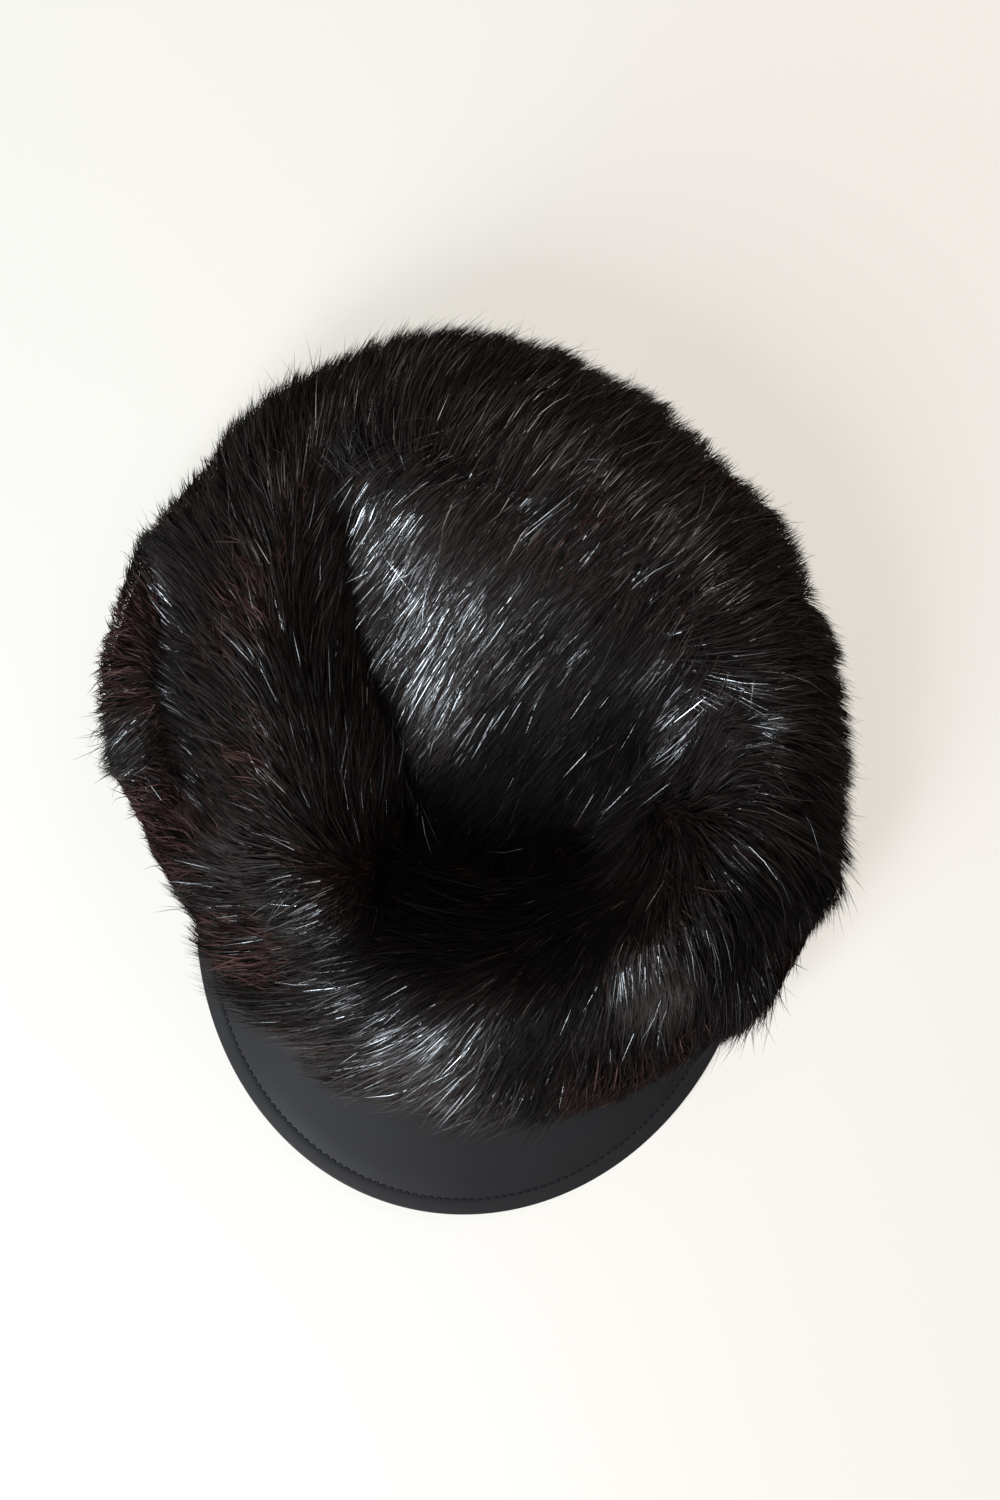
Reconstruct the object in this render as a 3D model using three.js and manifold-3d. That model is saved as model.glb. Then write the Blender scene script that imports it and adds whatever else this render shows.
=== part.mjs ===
// Slouchy fur cap with a leather peak, lying on a flat surface. Millimetres, +Z up, peak towards -Y.
import * as THREE from 'three'
import { mergeVertices } from 'three/addons/utils/BufferGeometryUtils.js'
import Module from 'manifold-3d'

const wasm = await Module()
wasm.setup()

// Head opening
const headWidth = 164
const headLength = 190
const headCentreX = 0
const headCentreY = -5
const mouthBelow = 6
const mouthStraight = 1

// Crown wall: the pelt with its dense underfur
const wall = 5
const furDepth = 6
const crownCentreX = -15
const crownCentreY = 15
const outerGrid = { round: 64, under: 3, top: 13 }
const innerGrid = { round: 64, under: 3, top: 13 }
const edgeSharpness = 3.2
const hollowX = 4
const hollowY = -18
const plateauHeight = 42
const baseRise = 36
const foldJoin = 2.5
const plateauFade = 0.22

// Overhanging side as one curve from the rim to the widest line, in shares of the way out and up
const sideOut = [0, 0.35, 1, 1]
const sideUp = [0, 0.25, 0.35, 1]

// Over the top the skin side changes from square offset to straight below between these places
const squareUntil = 1.1
const straightFrom = 1.35
const leastSlope = 0.45

// Peak
const peakCentreY = -45
const peakHalfWidth = 100
const peakHalfLength = 112
const peakThick = 3
const peakSlope = 0.1
const peakArch = 12
const peakTaperFrom = 72
const peakTaperTo = 93
const peakTaperInset = 18
const peakSegments = 30
const peakBands = 3
const peakRoomSide = 1
const peakRoomBelow = 40
const seat = 0.35

// Locks of the long fur
const lockLength = 42
const lockWidth = 20
const lockThick = 7
const lockLift = 9
const lockBury = 1.5
const lockSpacing = 34
const lockRoll = 0.7
const lockVary = 0.4
const lockFall = 0.8
const lockSteps = 10
const lockSeed = 7
const lockLowest = 0.05
const lockHighest = 1.97
const lockJitter = 0.04
const leastLocks = 4
const girthSteps = 36

// Small steps with which slopes and directions on the pelt are measured
const normalStep = 0.012
const walkStep = 0.01
const downStep = 0.05
const topEnd = 1.985

// How softly the lie of the fur blends from place to place, and how soon it turns down below
const napBlur = 150
const napFade = 1.5
const turnDown = 3

// Surface that the cap lies on
const slabSide = 900
const slabDepth = 100

// Rows of locks: on the overhanging side by share of the way up, over the top by share of the radius
const lockRows = [
  { height: 0.5 },
  { height: 0.8 },
  { radius: 1 },
  { radius: 0.93 },
  { radius: 0.81 },
  { radius: 0.68 },
  { radius: 0.55 },
  { radius: 0.42 },
  { radius: 0.29 },
  { radius: 0.15 },
]

// Distances within which the slivers between locks are welded, tried in turn
const weldFrom = 0.003
const weldTo = 0.2
const weldStep = 1.15
const touchGap = 0.04
const touchGrid = 0.002

// The crown seen from above: how far the fur reaches and the height of its widest line, by azimuth
const outline = [
  { azimuth: 0, reach: 131, height: 44 },
  { azimuth: 15, reach: 127, height: 46 },
  { azimuth: 30, reach: 128, height: 48 },
  { azimuth: 45, reach: 129, height: 50 },
  { azimuth: 60, reach: 128, height: 52 },
  { azimuth: 75, reach: 128, height: 52 },
  { azimuth: 90, reach: 133, height: 50 },
  { azimuth: 105, reach: 136, height: 48 },
  { azimuth: 120, reach: 134, height: 46 },
  { azimuth: 135, reach: 133, height: 42 },
  { azimuth: 150, reach: 132, height: 37 },
  { azimuth: 165, reach: 134, height: 33 },
  { azimuth: 180, reach: 134, height: 32 },
  { azimuth: 195, reach: 129, height: 34 },
  { azimuth: 210, reach: 122, height: 38 },
  { azimuth: 225, reach: 119, height: 40 },
  { azimuth: 240, reach: 120, height: 38 },
  { azimuth: 255, reach: 124, height: 36 },
  { azimuth: 270, reach: 132, height: 36 },
  { azimuth: 285, reach: 138, height: 36 },
  { azimuth: 300, reach: 141, height: 36 },
  { azimuth: 315, reach: 143, height: 36 },
  { azimuth: 330, reach: 146, height: 38 },
  { azimuth: 345, reach: 143, height: 41 },
]

// Rolls and folds of the slumped crown: each has a course from above, a rise (or fall) and a half width
const folds = [
  { name: 'back dome', rise: 30, width: 44, course: [[-34, 100], [15, 94], [52, 68]] },
  { name: 'left roll', rise: 25, width: 24, course: [[-94, 84], [-96, 44], [-88, 10], [-74, -22], [-60, -46]] },
  { name: 'front roll', rise: 21, width: 23, course: [[-60, -46], [-32, -70], [0, -79], [34, -72], [62, -48]] },
  { name: 'right roll', rise: 24, width: 24, course: [[62, -48], [80, -18], [88, 14], [84, 48]] },
  { name: 'valley', rise: -32, width: 15, course: [[-64, 74], [-60, 60], [-55, 44], [-42, 19], [-26, -4]] },
  { name: 'hollow', rise: -45, width: 25, course: [[-14, -20], [8, -19], [28, -9]] },
  { name: 'right arm of the hollow', rise: -27, width: 17, course: [[30, -6], [46, 12], [54, 30]] },
  { name: 'left crease', rise: -28, width: 10, course: [[-122, 48], [-116, 24], [-111, 4], [-104, -18], [-99, -32]] },
  { name: 'lower left crease', rise: -12, width: 10, course: [[-99, -32], [-84, -52], [-58, -70]] },
  { name: 'lower front crease', rise: -14, width: 10, course: [[28, -90], [55, -79], [80, -58], [98, -32]] },
]

// Lie of the fur from above: where the tips point, in degrees from +X towards +Y
const nap = [
  { x: -73, y: 106, heading: 85 },
  { x: -20, y: 132, heading: 62 },
  { x: 47, y: 105, heading: 51 },
  { x: 90, y: 70, heading: 0 },
  { x: 95, y: -13, heading: 325 },
  { x: -112, y: 80, heading: 128 },
  { x: -80, y: 46, heading: 125 },
  { x: -134, y: 15, heading: 182 },
  { x: -88, y: -25, heading: 158 },
  { x: -71, y: -62, heading: 199 },
  { x: -26, y: -81, heading: 216 },
  { x: 5, y: -81, heading: 239 },
  { x: 35, y: -76, heading: 256 },
  { x: 80, y: -63, heading: 281 },
  { x: 118, y: -29, heading: 290 },
  { x: -35, y: 55, heading: 247 },
  { x: 18, y: 24, heading: 243 },
  { x: 42, y: -6, heading: 316 },
  { x: 10, y: -24, heading: 285 },
  { x: 10, y: 82, heading: 58 },
]

const rad = THREE.MathUtils.degToRad

function seeded(seed) {
  let state = seed
  return () => {
    state = (state * 16807) % 2147483647
    return state / 2147483647
  }
}

function fromOutline(azimuth, column) {
  const step = 360 / outline.length
  const place = (((azimuth % 360) + 360) % 360) / step
  const i = Math.floor(place) % outline.length
  const t = place - Math.floor(place)
  const s = t * t * (3 - 2 * t)
  return outline[i][column] * (1 - s) + outline[(i + 1) % outline.length][column] * s
}

function distanceToCourse(x, y, course) {
  let best = Infinity
  for (let i = 0; i + 1 < course.length; i += 1) {
    const [ax, ay] = course[i]
    const [bx, by] = course[i + 1]
    const dx = bx - ax
    const dy = by - ay
    const t = THREE.MathUtils.clamp(((x - ax) * dx + (y - ay) * dy) / (dx * dx + dy * dy), 0, 1)
    best = Math.min(best, Math.hypot(x - ax - t * dx, y - ay - t * dy))
  }
  return best
}

// Rolls join into one another without piling up, and so do the falls
function foldHeight(x, y) {
  let up = 0
  let down = 0
  for (const fold of folds) {
    const d = distanceToCourse(x, y, fold.course) / fold.width
    const height = Math.abs(fold.rise) * Math.exp(-d * d)
    if (fold.rise > 0) up += height ** foldJoin
    else down += height ** foldJoin
  }
  return up ** (1 / foldJoin) - down ** (1 / foldJoin)
}

function rimPoint(azimuth, grow) {
  const x = headCentreX + (headWidth / 2 + grow) * Math.cos(azimuth)
  const y = headCentreY + (headLength / 2 + grow) * Math.sin(azimuth)
  return new THREE.Vector3(x, y, 0)
}

function curve([a, b, c, d], t) {
  return a * (1 - t) ** 3 + 3 * b * t * (1 - t) ** 2 + 3 * c * t * t * (1 - t) + d * t ** 3
}

// Outer face of the pelt: t runs 0..1 up the overhanging side to the widest line, 1..2 over the top
function pelt(azimuth, t) {
  const degrees = THREE.MathUtils.radToDeg(azimuth)
  const reach = fromOutline(degrees, 'reach') - furDepth
  const wideHeight = fromOutline(degrees, 'height')
  const across = Math.cos(azimuth)
  const along = Math.sin(azimuth)
  if (t <= 1) {
    const rim = rimPoint(azimuth, wall)
    const out = curve(sideOut, t)
    const up = curve(sideUp, t)
    const x = rim.x + (crownCentreX + reach * across - rim.x) * out
    const y = rim.y + (crownCentreY + reach * along - rim.y) * out
    return new THREE.Vector3(x, y, wideHeight * up)
  }
  const rho = Math.cos((t - 1) * Math.PI / 2)
  const x = hollowX + rho * (crownCentreX + reach * across - hollowX)
  const y = hollowY + rho * (crownCentreY + reach * along - hollowY)
  const keep = THREE.MathUtils.smoothstep(rho, plateauFade, 1)
  const base = plateauHeight + (wideHeight - plateauHeight) * keep
  const cover = Math.sqrt(1 - Math.min(1, rho) ** edgeSharpness)
  return new THREE.Vector3(x, y, base + cover * (baseRise + foldHeight(x, y)))
}

function peltNormal(azimuth, t) {
  const low = Math.max(0, t - normalStep)
  const high = Math.min(topEnd, t + normalStep)
  const along = pelt(azimuth, high).sub(pelt(azimuth, low))
  const round = pelt(azimuth + normalStep, t).sub(pelt(azimuth - normalStep, t))
  return round.cross(along).normalize()
}

function headingAt(x, y) {
  let across = 0
  let along = 0
  for (const row of nap) {
    const weight = 1 / ((x - row.x) ** 2 + (y - row.y) ** 2 + napBlur) ** napFade
    across += weight * Math.cos(rad(row.heading))
    along += weight * Math.sin(rad(row.heading))
  }
  return new THREE.Vector3(across, along, 0).normalize()
}

function toManifold(positions, faces) {
  const mesh = new wasm.Mesh({
    numProp: 3,
    vertProperties: new Float32Array(positions),
    triVerts: new Uint32Array(faces),
  })
  return new wasm.Manifold(mesh)
}

function fromGeometry(geometry) {
  geometry.deleteAttribute('normal')
  geometry.deleteAttribute('uv')
  const welded = mergeVertices(geometry, 1e-4)
  return toManifold(welded.attributes.position.array, welded.index.array)
}

// Closed skin through rings of points, with a fan to one point at each end
function closeRings(first, rings, last) {
  const count = rings[0].length
  const positions = [...first.toArray()]
  for (const ring of rings) {
    for (const point of ring) positions.push(...point.toArray())
  }
  positions.push(...last.toArray())
  const end = 1 + rings.length * count
  const faces = []
  for (let i = 0; i < count; i += 1) {
    const j = (i + 1) % count
    faces.push(0, 1 + j, 1 + i)
    faces.push(end, end - count + i, end - count + j)
    for (let k = 0; k + 1 < rings.length; k += 1) {
      const a = 1 + k * count + i
      const b = 1 + k * count + j
      faces.push(a, b, b + count)
      faces.push(a, b + count, a + count)
    }
  }
  return toManifold(positions, faces)
}

// Ring of points on the pelt, or on its skin side. Over the top the skin side lies straight below,
// lower where the pelt is steep, so that it never folds through itself
function ringAt(t, inset, count) {
  const ring = []
  for (let i = 0; i < count; i += 1) {
    const azimuth = i * 2 * Math.PI / count
    const point = pelt(azimuth, t)
    const normal = peltNormal(azimuth, t)
    const straight = THREE.MathUtils.smoothstep(t, squareUntil, straightFrom)
    const fall = inset / Math.max(normal.z, leastSlope)
    point.addScaledVector(normal, -inset * (1 - straight))
    point.z -= fall * straight
    ring.push(point)
  }
  return ring
}

function outerBody() {
  const rings = []
  const { round, under, top } = outerGrid
  for (let k = 0; k <= under; k += 1) rings.push(ringAt(k / under, 0, round))
  for (let k = 1; k < top; k += 1) rings.push(ringAt(1 + k / top, 0, round))
  const bottom = new THREE.Vector3(headCentreX, headCentreY, 0)
  return closeRings(bottom, rings, pelt(0, 2))
}

function innerBody() {
  const { round, under, top } = innerGrid
  const rings = []
  for (const height of [-mouthBelow, mouthStraight]) {
    const mouth = []
    for (let i = 0; i < round; i += 1) {
      mouth.push(rimPoint(i * 2 * Math.PI / round, 0).setZ(height))
    }
    rings.push(mouth)
  }
  for (let k = 1; k <= under; k += 1) rings.push(ringAt(k / under, wall, round))
  for (let k = 1; k < top; k += 1) rings.push(ringAt(1 + k / top, wall, round))
  const bottom = new THREE.Vector3(headCentreX, headCentreY, -mouthBelow)
  const summit = pelt(0, 2)
  return closeRings(bottom, rings, summit.setZ(summit.z - wall))
}

// Direction of the fur on the pelt: the nap over the top, downwards on the side, inwards to the rim below
function furDirection(azimuth, t) {
  const here = pelt(azimuth, t)
  const normal = peltNormal(azimuth, t)
  const heading = headingAt(here.x, here.y)
  heading.z = -lockFall
  if (t < 1) {
    const down = pelt(azimuth, t - downStep).sub(here).normalize()
    heading.lerp(down, THREE.MathUtils.clamp((1 - t) * turnDown, 0, 1))
  }
  return heading.addScaledVector(normal, -heading.dot(normal)).normalize()
}

// A short step along the pelt in the fur's direction
function stepAlong(place, distance) {
  const here = pelt(place.azimuth, place.t)
  const round = pelt(place.azimuth + walkStep, place.t).sub(here).divideScalar(walkStep)
  const over = pelt(place.azimuth, place.t - walkStep).sub(here).divideScalar(-walkStep)
  const heading = furDirection(place.azimuth, place.t)
  const rr = round.dot(round)
  const oo = over.dot(over)
  const ro = round.dot(over)
  const hr = heading.dot(round)
  const ho = heading.dot(over)
  const share = Math.max(rr * oo - ro * ro, 1e-6)
  return {
    azimuth: place.azimuth + distance * (hr * oo - ho * ro) / share,
    t: THREE.MathUtils.clamp(place.t + distance * (ho * rr - hr * ro) / share, lockLowest, lockHighest),
  }
}

// One lock: a tapering tongue that follows the pelt along the fur's direction and lifts to its tip
function lock(azimuth, t, length, width, roll) {
  const stations = [
    { at: 0, size: 0, lift: 0 },
    { at: 0.3, size: 1, lift: 0.4 },
    { at: 0.7, size: 0.66, lift: 0.8 },
    { at: 1, size: 0, lift: 1 },
  ]
  const path = [{ azimuth, t }]
  for (let i = 0; i < lockSteps; i += 1) path.push(stepAlong(path[i], length / lockSteps))
  const rings = stations.map((station) => {
    const place = path[Math.round(station.at * lockSteps)]
    const normal = peltNormal(place.azimuth, place.t)
    const heading = furDirection(place.azimuth, place.t)
    const middle = pelt(place.azimuth, place.t)
    middle.addScaledVector(normal, -lockBury + lockLift * station.lift)
    if (station.size === 0) return [middle]
    const side = new THREE.Vector3().crossVectors(normal, heading).normalize()
    const tilt = side.multiplyScalar(Math.cos(roll)).addScaledVector(normal, Math.sin(roll))
    const up = new THREE.Vector3().crossVectors(heading, tilt).normalize()
    const half = width / 2 * station.size
    const thick = lockThick / 2 * station.size
    return [
      middle.clone().addScaledVector(tilt, half),
      middle.clone().addScaledVector(up, thick),
      middle.clone().addScaledVector(tilt, -half),
    ]
  })
  return closeRings(rings[0][0], rings.slice(1, -1), rings[rings.length - 1][0])
}

// Rows of locks round the crown, staggered, each lying along the nap
function allLocks() {
  const random = seeded(lockSeed)
  const bodies = []
  lockRows.forEach((row, index) => {
    const rowT = row.height ?? 1 + 2 / Math.PI * Math.acos(row.radius)
    let length = 0
    const turn = 2 * Math.PI / girthSteps
    for (let i = 0; i < girthSteps; i += 1) {
      length += pelt(i * turn, rowT).distanceTo(pelt((i + 1) * turn, rowT))
    }
    const count = Math.max(leastLocks, Math.round(length / lockSpacing))
    for (let i = 0; i < count; i += 1) {
      const azimuth = (i + 0.5 * (index % 2) + 0.5 * (random() - 0.5)) * 2 * Math.PI / count
      const t = rowT + lockJitter * (random() - 0.5)
      const long = lockLength * (1 + lockVary * (random() - 0.5))
      const wide = lockWidth * (1 + lockVary * (random() - 0.5))
      bodies.push(lock(azimuth, t, long, wide, lockRoll * (random() - 0.5)))
    }
  })
  return bodies
}

// Peak: its outer edge from above, tapering to narrow ends beside the head opening
function peakEdge(degreesFromFront) {
  const side = Math.abs(degreesFromFront)
  const taper = THREE.MathUtils.smoothstep(side, peakTaperFrom, peakTaperTo) * peakTaperInset
  const angle = rad(degreesFromFront - 90)
  const x = (peakHalfWidth - taper) * Math.cos(angle)
  return [x, peakCentreY + (peakHalfLength - taper) * Math.sin(angle)]
}

function peakInner(degreesFromFront) {
  const [x, y] = peakEdge(degreesFromFront)
  const dx = x - headCentreX
  const dy = y - headCentreY
  const a = headWidth / 2
  const b = headLength / 2
  const reach = 1 / Math.hypot(dx / a, dy / b)
  return [headCentreX + dx * reach, headCentreY + dy * reach]
}

function peakUnder(x, y) {
  const front = peakCentreY - peakHalfLength
  return peakSlope * (y - front) + peakArch * (1 - (x / peakHalfWidth) ** 2)
}

// Plate between the peak's inner and outer edge: low and high are offsets from its under face
function peakPlate(grow, low, high, drop) {
  const rows = []
  for (let i = 0; i <= peakSegments; i += 1) {
    const degrees = peakTaperTo * (2 * i / peakSegments - 1)
    const [ox, oy] = peakEdge(degrees)
    const [ix, iy] = peakInner(degrees)
    const row = []
    for (let k = 0; k <= peakBands; k += 1) {
      const f = k / peakBands
      row.push([ix + (ox - ix) * f, iy + (oy - iy) * f])
    }
    const span = Math.hypot(ox - ix, oy - iy)
    row[0] = [ix - (ox - ix) / span * grow, iy - (oy - iy) / span * grow]
    row[peakBands] = [ox + (ox - ix) / span * grow, oy + (oy - iy) / span * grow]
    rows.push(row)
  }
  if (grow > 0) {
    for (const [end, next] of [[0, 1], [peakSegments, peakSegments - 1]]) {
      rows[end] = rows[end].map(([x, y], k) => {
        const [nx, ny] = rows[next][k]
        const span = Math.hypot(x - nx, y - ny)
        return [x + (x - nx) / span * grow, y + (y - ny) / span * grow]
      })
    }
  }
  const positions = []
  for (const lift of [low, high]) {
    for (const row of rows) {
      for (const [x, y] of row) positions.push(x, y, peakUnder(x, y) - drop + lift)
    }
  }
  const wide = peakBands + 1
  const layer = rows.length * wide
  const faces = []
  const quad = (a, b, c, d) => faces.push(a, b, c, a, c, d)
  for (let i = 0; i < peakSegments; i += 1) {
    for (let k = 0; k < peakBands; k += 1) {
      const a = i * wide + k
      quad(a, a + wide, a + wide + 1, a + 1)
      quad(layer + a, layer + a + 1, layer + a + wide + 1, layer + a + wide)
    }
    const inner = i * wide
    const outer = inner + peakBands
    quad(inner, layer + inner, layer + inner + wide, inner + wide)
    quad(outer, outer + wide, layer + outer + wide, layer + outer)
  }
  for (let k = 0; k < peakBands; k += 1) {
    const a = k
    quad(a, a + 1, layer + a + 1, layer + a)
    const b = peakSegments * wide + k
    quad(b, layer + b, layer + b + 1, b + 1)
  }
  return toManifold(positions, faces)
}

function lowestPeakPoint() {
  let lowest = Infinity
  for (let degrees = -peakTaperTo; degrees <= peakTaperTo; degrees += 1) {
    const [x, y] = peakEdge(degrees)
    lowest = Math.min(lowest, peakUnder(x, y))
  }
  return lowest
}

function box(width, depth, height, x, y, z) {
  const geometry = new THREE.BoxGeometry(width, depth, height)
  geometry.translate(x, y, z)
  return fromGeometry(geometry)
}

function largestBody(solid) {
  const bodies = solid.decompose()
  return bodies.reduce((a, b) => (b.volume() > a.volume() ? b : a))
}

function everyEdgeHasTwoFaces(faces) {
  const uses = new Map()
  for (let i = 0; i < faces.length; i += 3) {
    for (const [a, b] of [[faces[i], faces[i + 1]], [faces[i + 1], faces[i + 2]], [faces[i + 2], faces[i]]]) {
      const key = Math.min(a, b) * 1e6 + Math.max(a, b)
      uses.set(key, (uses.get(key) ?? 0) + 1)
    }
  }
  return [...uses.values()].every((count) => count === 2)
}

// Faces with three different corners, without the pairs that lie face to face
function soundFaces(corners) {
  const kept = new Map()
  for (let i = 0; i < corners.length; i += 3) {
    const face = [corners[i], corners[i + 1], corners[i + 2]]
    if (new Set(face).size < 3) continue
    const key = [...face].sort((p, q) => p - q).join()
    if (kept.has(key)) kept.delete(key)
    else kept.set(key, face)
  }
  return [...kept.values()].flat()
}

function geometryOf(solid) {
  const data = solid.getMesh()
  const geometry = new THREE.BufferGeometry()
  geometry.setAttribute('position', new THREE.BufferAttribute(new Float32Array(data.vertProperties), 3))
  geometry.setIndex(new THREE.BufferAttribute(new Uint32Array(data.triVerts), 1))
  return geometry
}

// Corners that lie in one place without being one corner are drawn a hair's breadth into their own solid
function partTouchingCorners(geometry) {
  geometry.computeVertexNormals()
  const { position, normal } = geometry.attributes
  const places = new Map()
  for (let i = 0; i < position.count; i += 1) {
    const place = [position.getX(i), position.getY(i), position.getZ(i)]
    const key = place.map((v) => Math.round(v / touchGrid)).join()
    places.set(key, [...(places.get(key) ?? []), i])
  }
  for (const corners of places.values()) {
    if (corners.length < 2) continue
    for (const i of corners) {
      const x = position.getX(i) - touchGap * normal.getX(i)
      const y = position.getY(i) - touchGap * normal.getY(i)
      position.setXYZ(i, x, y, position.getZ(i) - touchGap * normal.getZ(i))
    }
  }
  geometry.deleteAttribute('normal')
}

// Same solid with its slivers welded away
function withoutSlivers(solid) {
  for (let reach = weldFrom; reach < weldTo; reach *= weldStep) {
    const geometry = geometryOf(solid)
    partTouchingCorners(geometry)
    const merged = mergeVertices(geometry, reach)
    const faces = soundFaces(merged.index.array)
    if (everyEdgeHasTwoFaces(faces)) return toManifold(merged.attributes.position.array, faces)
  }
  throw new Error('the crown has slivers that no welding reach clears')
}

function meshFrom(name, solid, material) {
  const geometry = geometryOf(solid)
  geometry.computeVertexNormals()
  const mesh = new THREE.Mesh(geometry, new THREE.MeshStandardMaterial(material))
  mesh.name = name
  return mesh
}

const drop = lowestPeakPoint()
const peakSolid = peakPlate(0, 0, peakThick, drop)
const peakRoom = peakPlate(peakRoomSide, -peakRoomBelow, peakThick + seat, drop)
const hollow = innerBody()
const floorSlab = box(slabSide, slabSide, slabDepth, 0, 0, -slabDepth / 2)
let crownSolid = wasm.Manifold.union([outerBody(), ...allLocks()])
crownSolid = crownSolid.subtract(hollow).subtract(floorSlab).subtract(peakRoom)
crownSolid = largestBody(withoutSlivers(largestBody(crownSolid)))

const cap = new THREE.Group()
cap.name = 'fur_cap'
cap.add(meshFrom('crown', crownSolid, { color: 0x1a1412, roughness: 0.85, metalness: 0 }))
cap.add(meshFrom('peak', peakSolid, { color: 0x2c2c2f, roughness: 0.5, metalness: 0 }))

// Origin at the middle of the footprint
const bounds = new THREE.Box3().setFromObject(cap)
const middle = bounds.getCenter(new THREE.Vector3())
for (const mesh of cap.children) {
  mesh.geometry.translate(-middle.x, -middle.y, -bounds.min.z)
}

export default cap
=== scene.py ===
"""Fur cap: long dark fur over a slouchy hollow crown, a stitched leather peak, and their stage.

Lengths in the tables are millimetres in the cap's own plan: x to the right and y to the back, from
the point below the camera. Everything that is built is in metres.
"""

import math

import bmesh
import bpy
import numpy as np
from bpy.props import FloatProperty, FloatVectorProperty, IntProperty, PointerProperty
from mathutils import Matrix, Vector
from mathutils.bvhtree import BVHTree
from mathutils.kdtree import KDTree


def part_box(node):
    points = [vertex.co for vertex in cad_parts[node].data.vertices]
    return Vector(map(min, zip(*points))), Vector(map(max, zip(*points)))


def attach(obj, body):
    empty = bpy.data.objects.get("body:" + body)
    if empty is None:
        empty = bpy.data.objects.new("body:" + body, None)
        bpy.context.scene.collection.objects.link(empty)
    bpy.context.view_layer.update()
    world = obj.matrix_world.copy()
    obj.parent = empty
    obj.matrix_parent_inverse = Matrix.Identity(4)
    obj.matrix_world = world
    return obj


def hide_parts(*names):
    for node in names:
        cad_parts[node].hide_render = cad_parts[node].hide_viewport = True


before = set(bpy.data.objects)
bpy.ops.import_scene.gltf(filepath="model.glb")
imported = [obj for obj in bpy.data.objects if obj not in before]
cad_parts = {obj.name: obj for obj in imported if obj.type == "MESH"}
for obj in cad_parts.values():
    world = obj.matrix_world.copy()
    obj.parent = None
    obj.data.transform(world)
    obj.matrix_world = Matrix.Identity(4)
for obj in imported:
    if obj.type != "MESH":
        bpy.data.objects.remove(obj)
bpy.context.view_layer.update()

bl_info = {
    "name": "Fur Cap",
    "version": (1, 0, 0),
    "blender": (4, 5, 0),
    "location": "View3D > Sidebar > Fur Cap",
    "description": "Fur strands, pelt, leather peak and stage for a slouchy fur cap",
    "category": "Object",
}

MM = 0.001
PEAK_LOW, PEAK_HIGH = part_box("peak")
PEAK_FRONT = -157.0
PLAN_X = (PEAK_LOW.x + PEAK_HIGH.x) / 2
PLAN_Y = PEAK_LOW.y - PEAK_FRONT * MM

# The peak: its outline from above, slope and arch, the net of its plate, and where hair may meet it
PEAK_CENTRE_Y = -45.0
PEAK_HALF_WIDTH = 100.0
PEAK_HALF_LENGTH = 112.0
PEAK_THICK = 3.0
PEAK_SLOPE = 0.1
PEAK_ARCH = 12.0
PEAK_TAPER_FROM = 72.0
PEAK_TAPER_TO = 93.0
PEAK_TAPER_INSET = 18.0
PEAK_COLUMNS = 120
PEAK_BANDS = 8
PEAK_FULL_ROWS = 24.0
PEAK_ZONE = {"height": 24.0, "back": -35.0, "side": 106.0}

# The stitched row: where it ends, in degrees from the front, and how deep the stitches lie
STITCH_ROW_END = 84.0
STITCH_SAMPLES = 1200
STITCH_SINK = 0.2

# The head opening from above: its centre, half its width and half its length; and the crown's rim
HEAD = (0.0, -5.0, 82.0, 95.0)
RIM_WIDTH = 5.0
RIM_HEIGHT = 14.0
RIM_FACING = -0.75

# Way the fur lies, seen from above: where, and the heading of the tips in degrees from the right
NAP = (
    (-113, 81, 128), (-111, 40, 143), (-78, 46, 120), (-88, 10, 147), (-64, 8, 141),
    (-89, -24, 155), (-52, -17, 136), (-128, 37, 151), (-134, 15, 181), (-124, -4, 233),
    (-110, -35, 176), (-88, -45, 171), (-71, -62, 199), (-52, -51, 218), (-26, -46, 230),
    (0, -58, 235), (27, -53, 271), (49, -42, 309), (75, -37, 310), (95, -33, 286), (115, -29, 281),
    (-53, -86, 191), (-26, -81, 216), (5, -81, 239), (35, -76, 256), (61, -70, 286), (80, -63, 279),
    (-32, -102, 206), (2, -103, 233), (39, -95, 256), (70, -82, 273), (88, 72, 356),
    (93, 46, 351), (95, 19, 336), (71, 21, 3), (69, -4, 336), (91, -13, 316), (42, -6, 316),
    (10, -22, 281),
)
NAP_BACK = (
    (-58, 119, 67), (-26, 132, 61), (10, 122, 55), (47, 105, 51), (71, 89, 41), (-88, 96, 107),
    (-73, 106, 85), (21, 66, 58), (48, 64, 56), (-19, 96, 63), (30, 88, 56), (68, 52, 40),
    (60, 34, 34), (62, 12, 20),
)
NAP_SLOPE = (
    (-57, 78, 249), (-35, 55, 247), (-17, 31, 246), (3, 49, 241), (15, 24, 243), (40, 39, 241),
    (-28, 1, 246), (8, 2, 246), (34, 8, 243),
)

# Line round the slope on which its fur and the fur about it part, over the dome and down its right
# side, or meet, in the valley and the pit, with how far the two mix to each side
CREST = ((-48, 99), (-31, 100), (18, 82), (42, 68), (56, 48), (58, 22), (50, 2))
PARTING = ((-22, -8), (-40, 19), (-54, 44), (-62, 62), (-64, 84)) + CREST + ((14, -14), (-22, -8))
PARTING_BLUR = 26.0
VALLEY_BLUR = 5.0

# How the nap is worked out: blur between its rows in square millimetres, how steeply it falls, and
# how much of its outward part the hair at the cap's edge keeps
NAP_BLUR = 90.0
NAP_FALL = 0.45
EDGE_STAND = 0.8

# How much longer the hair is over the peak
FRINGE = 0.35

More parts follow.
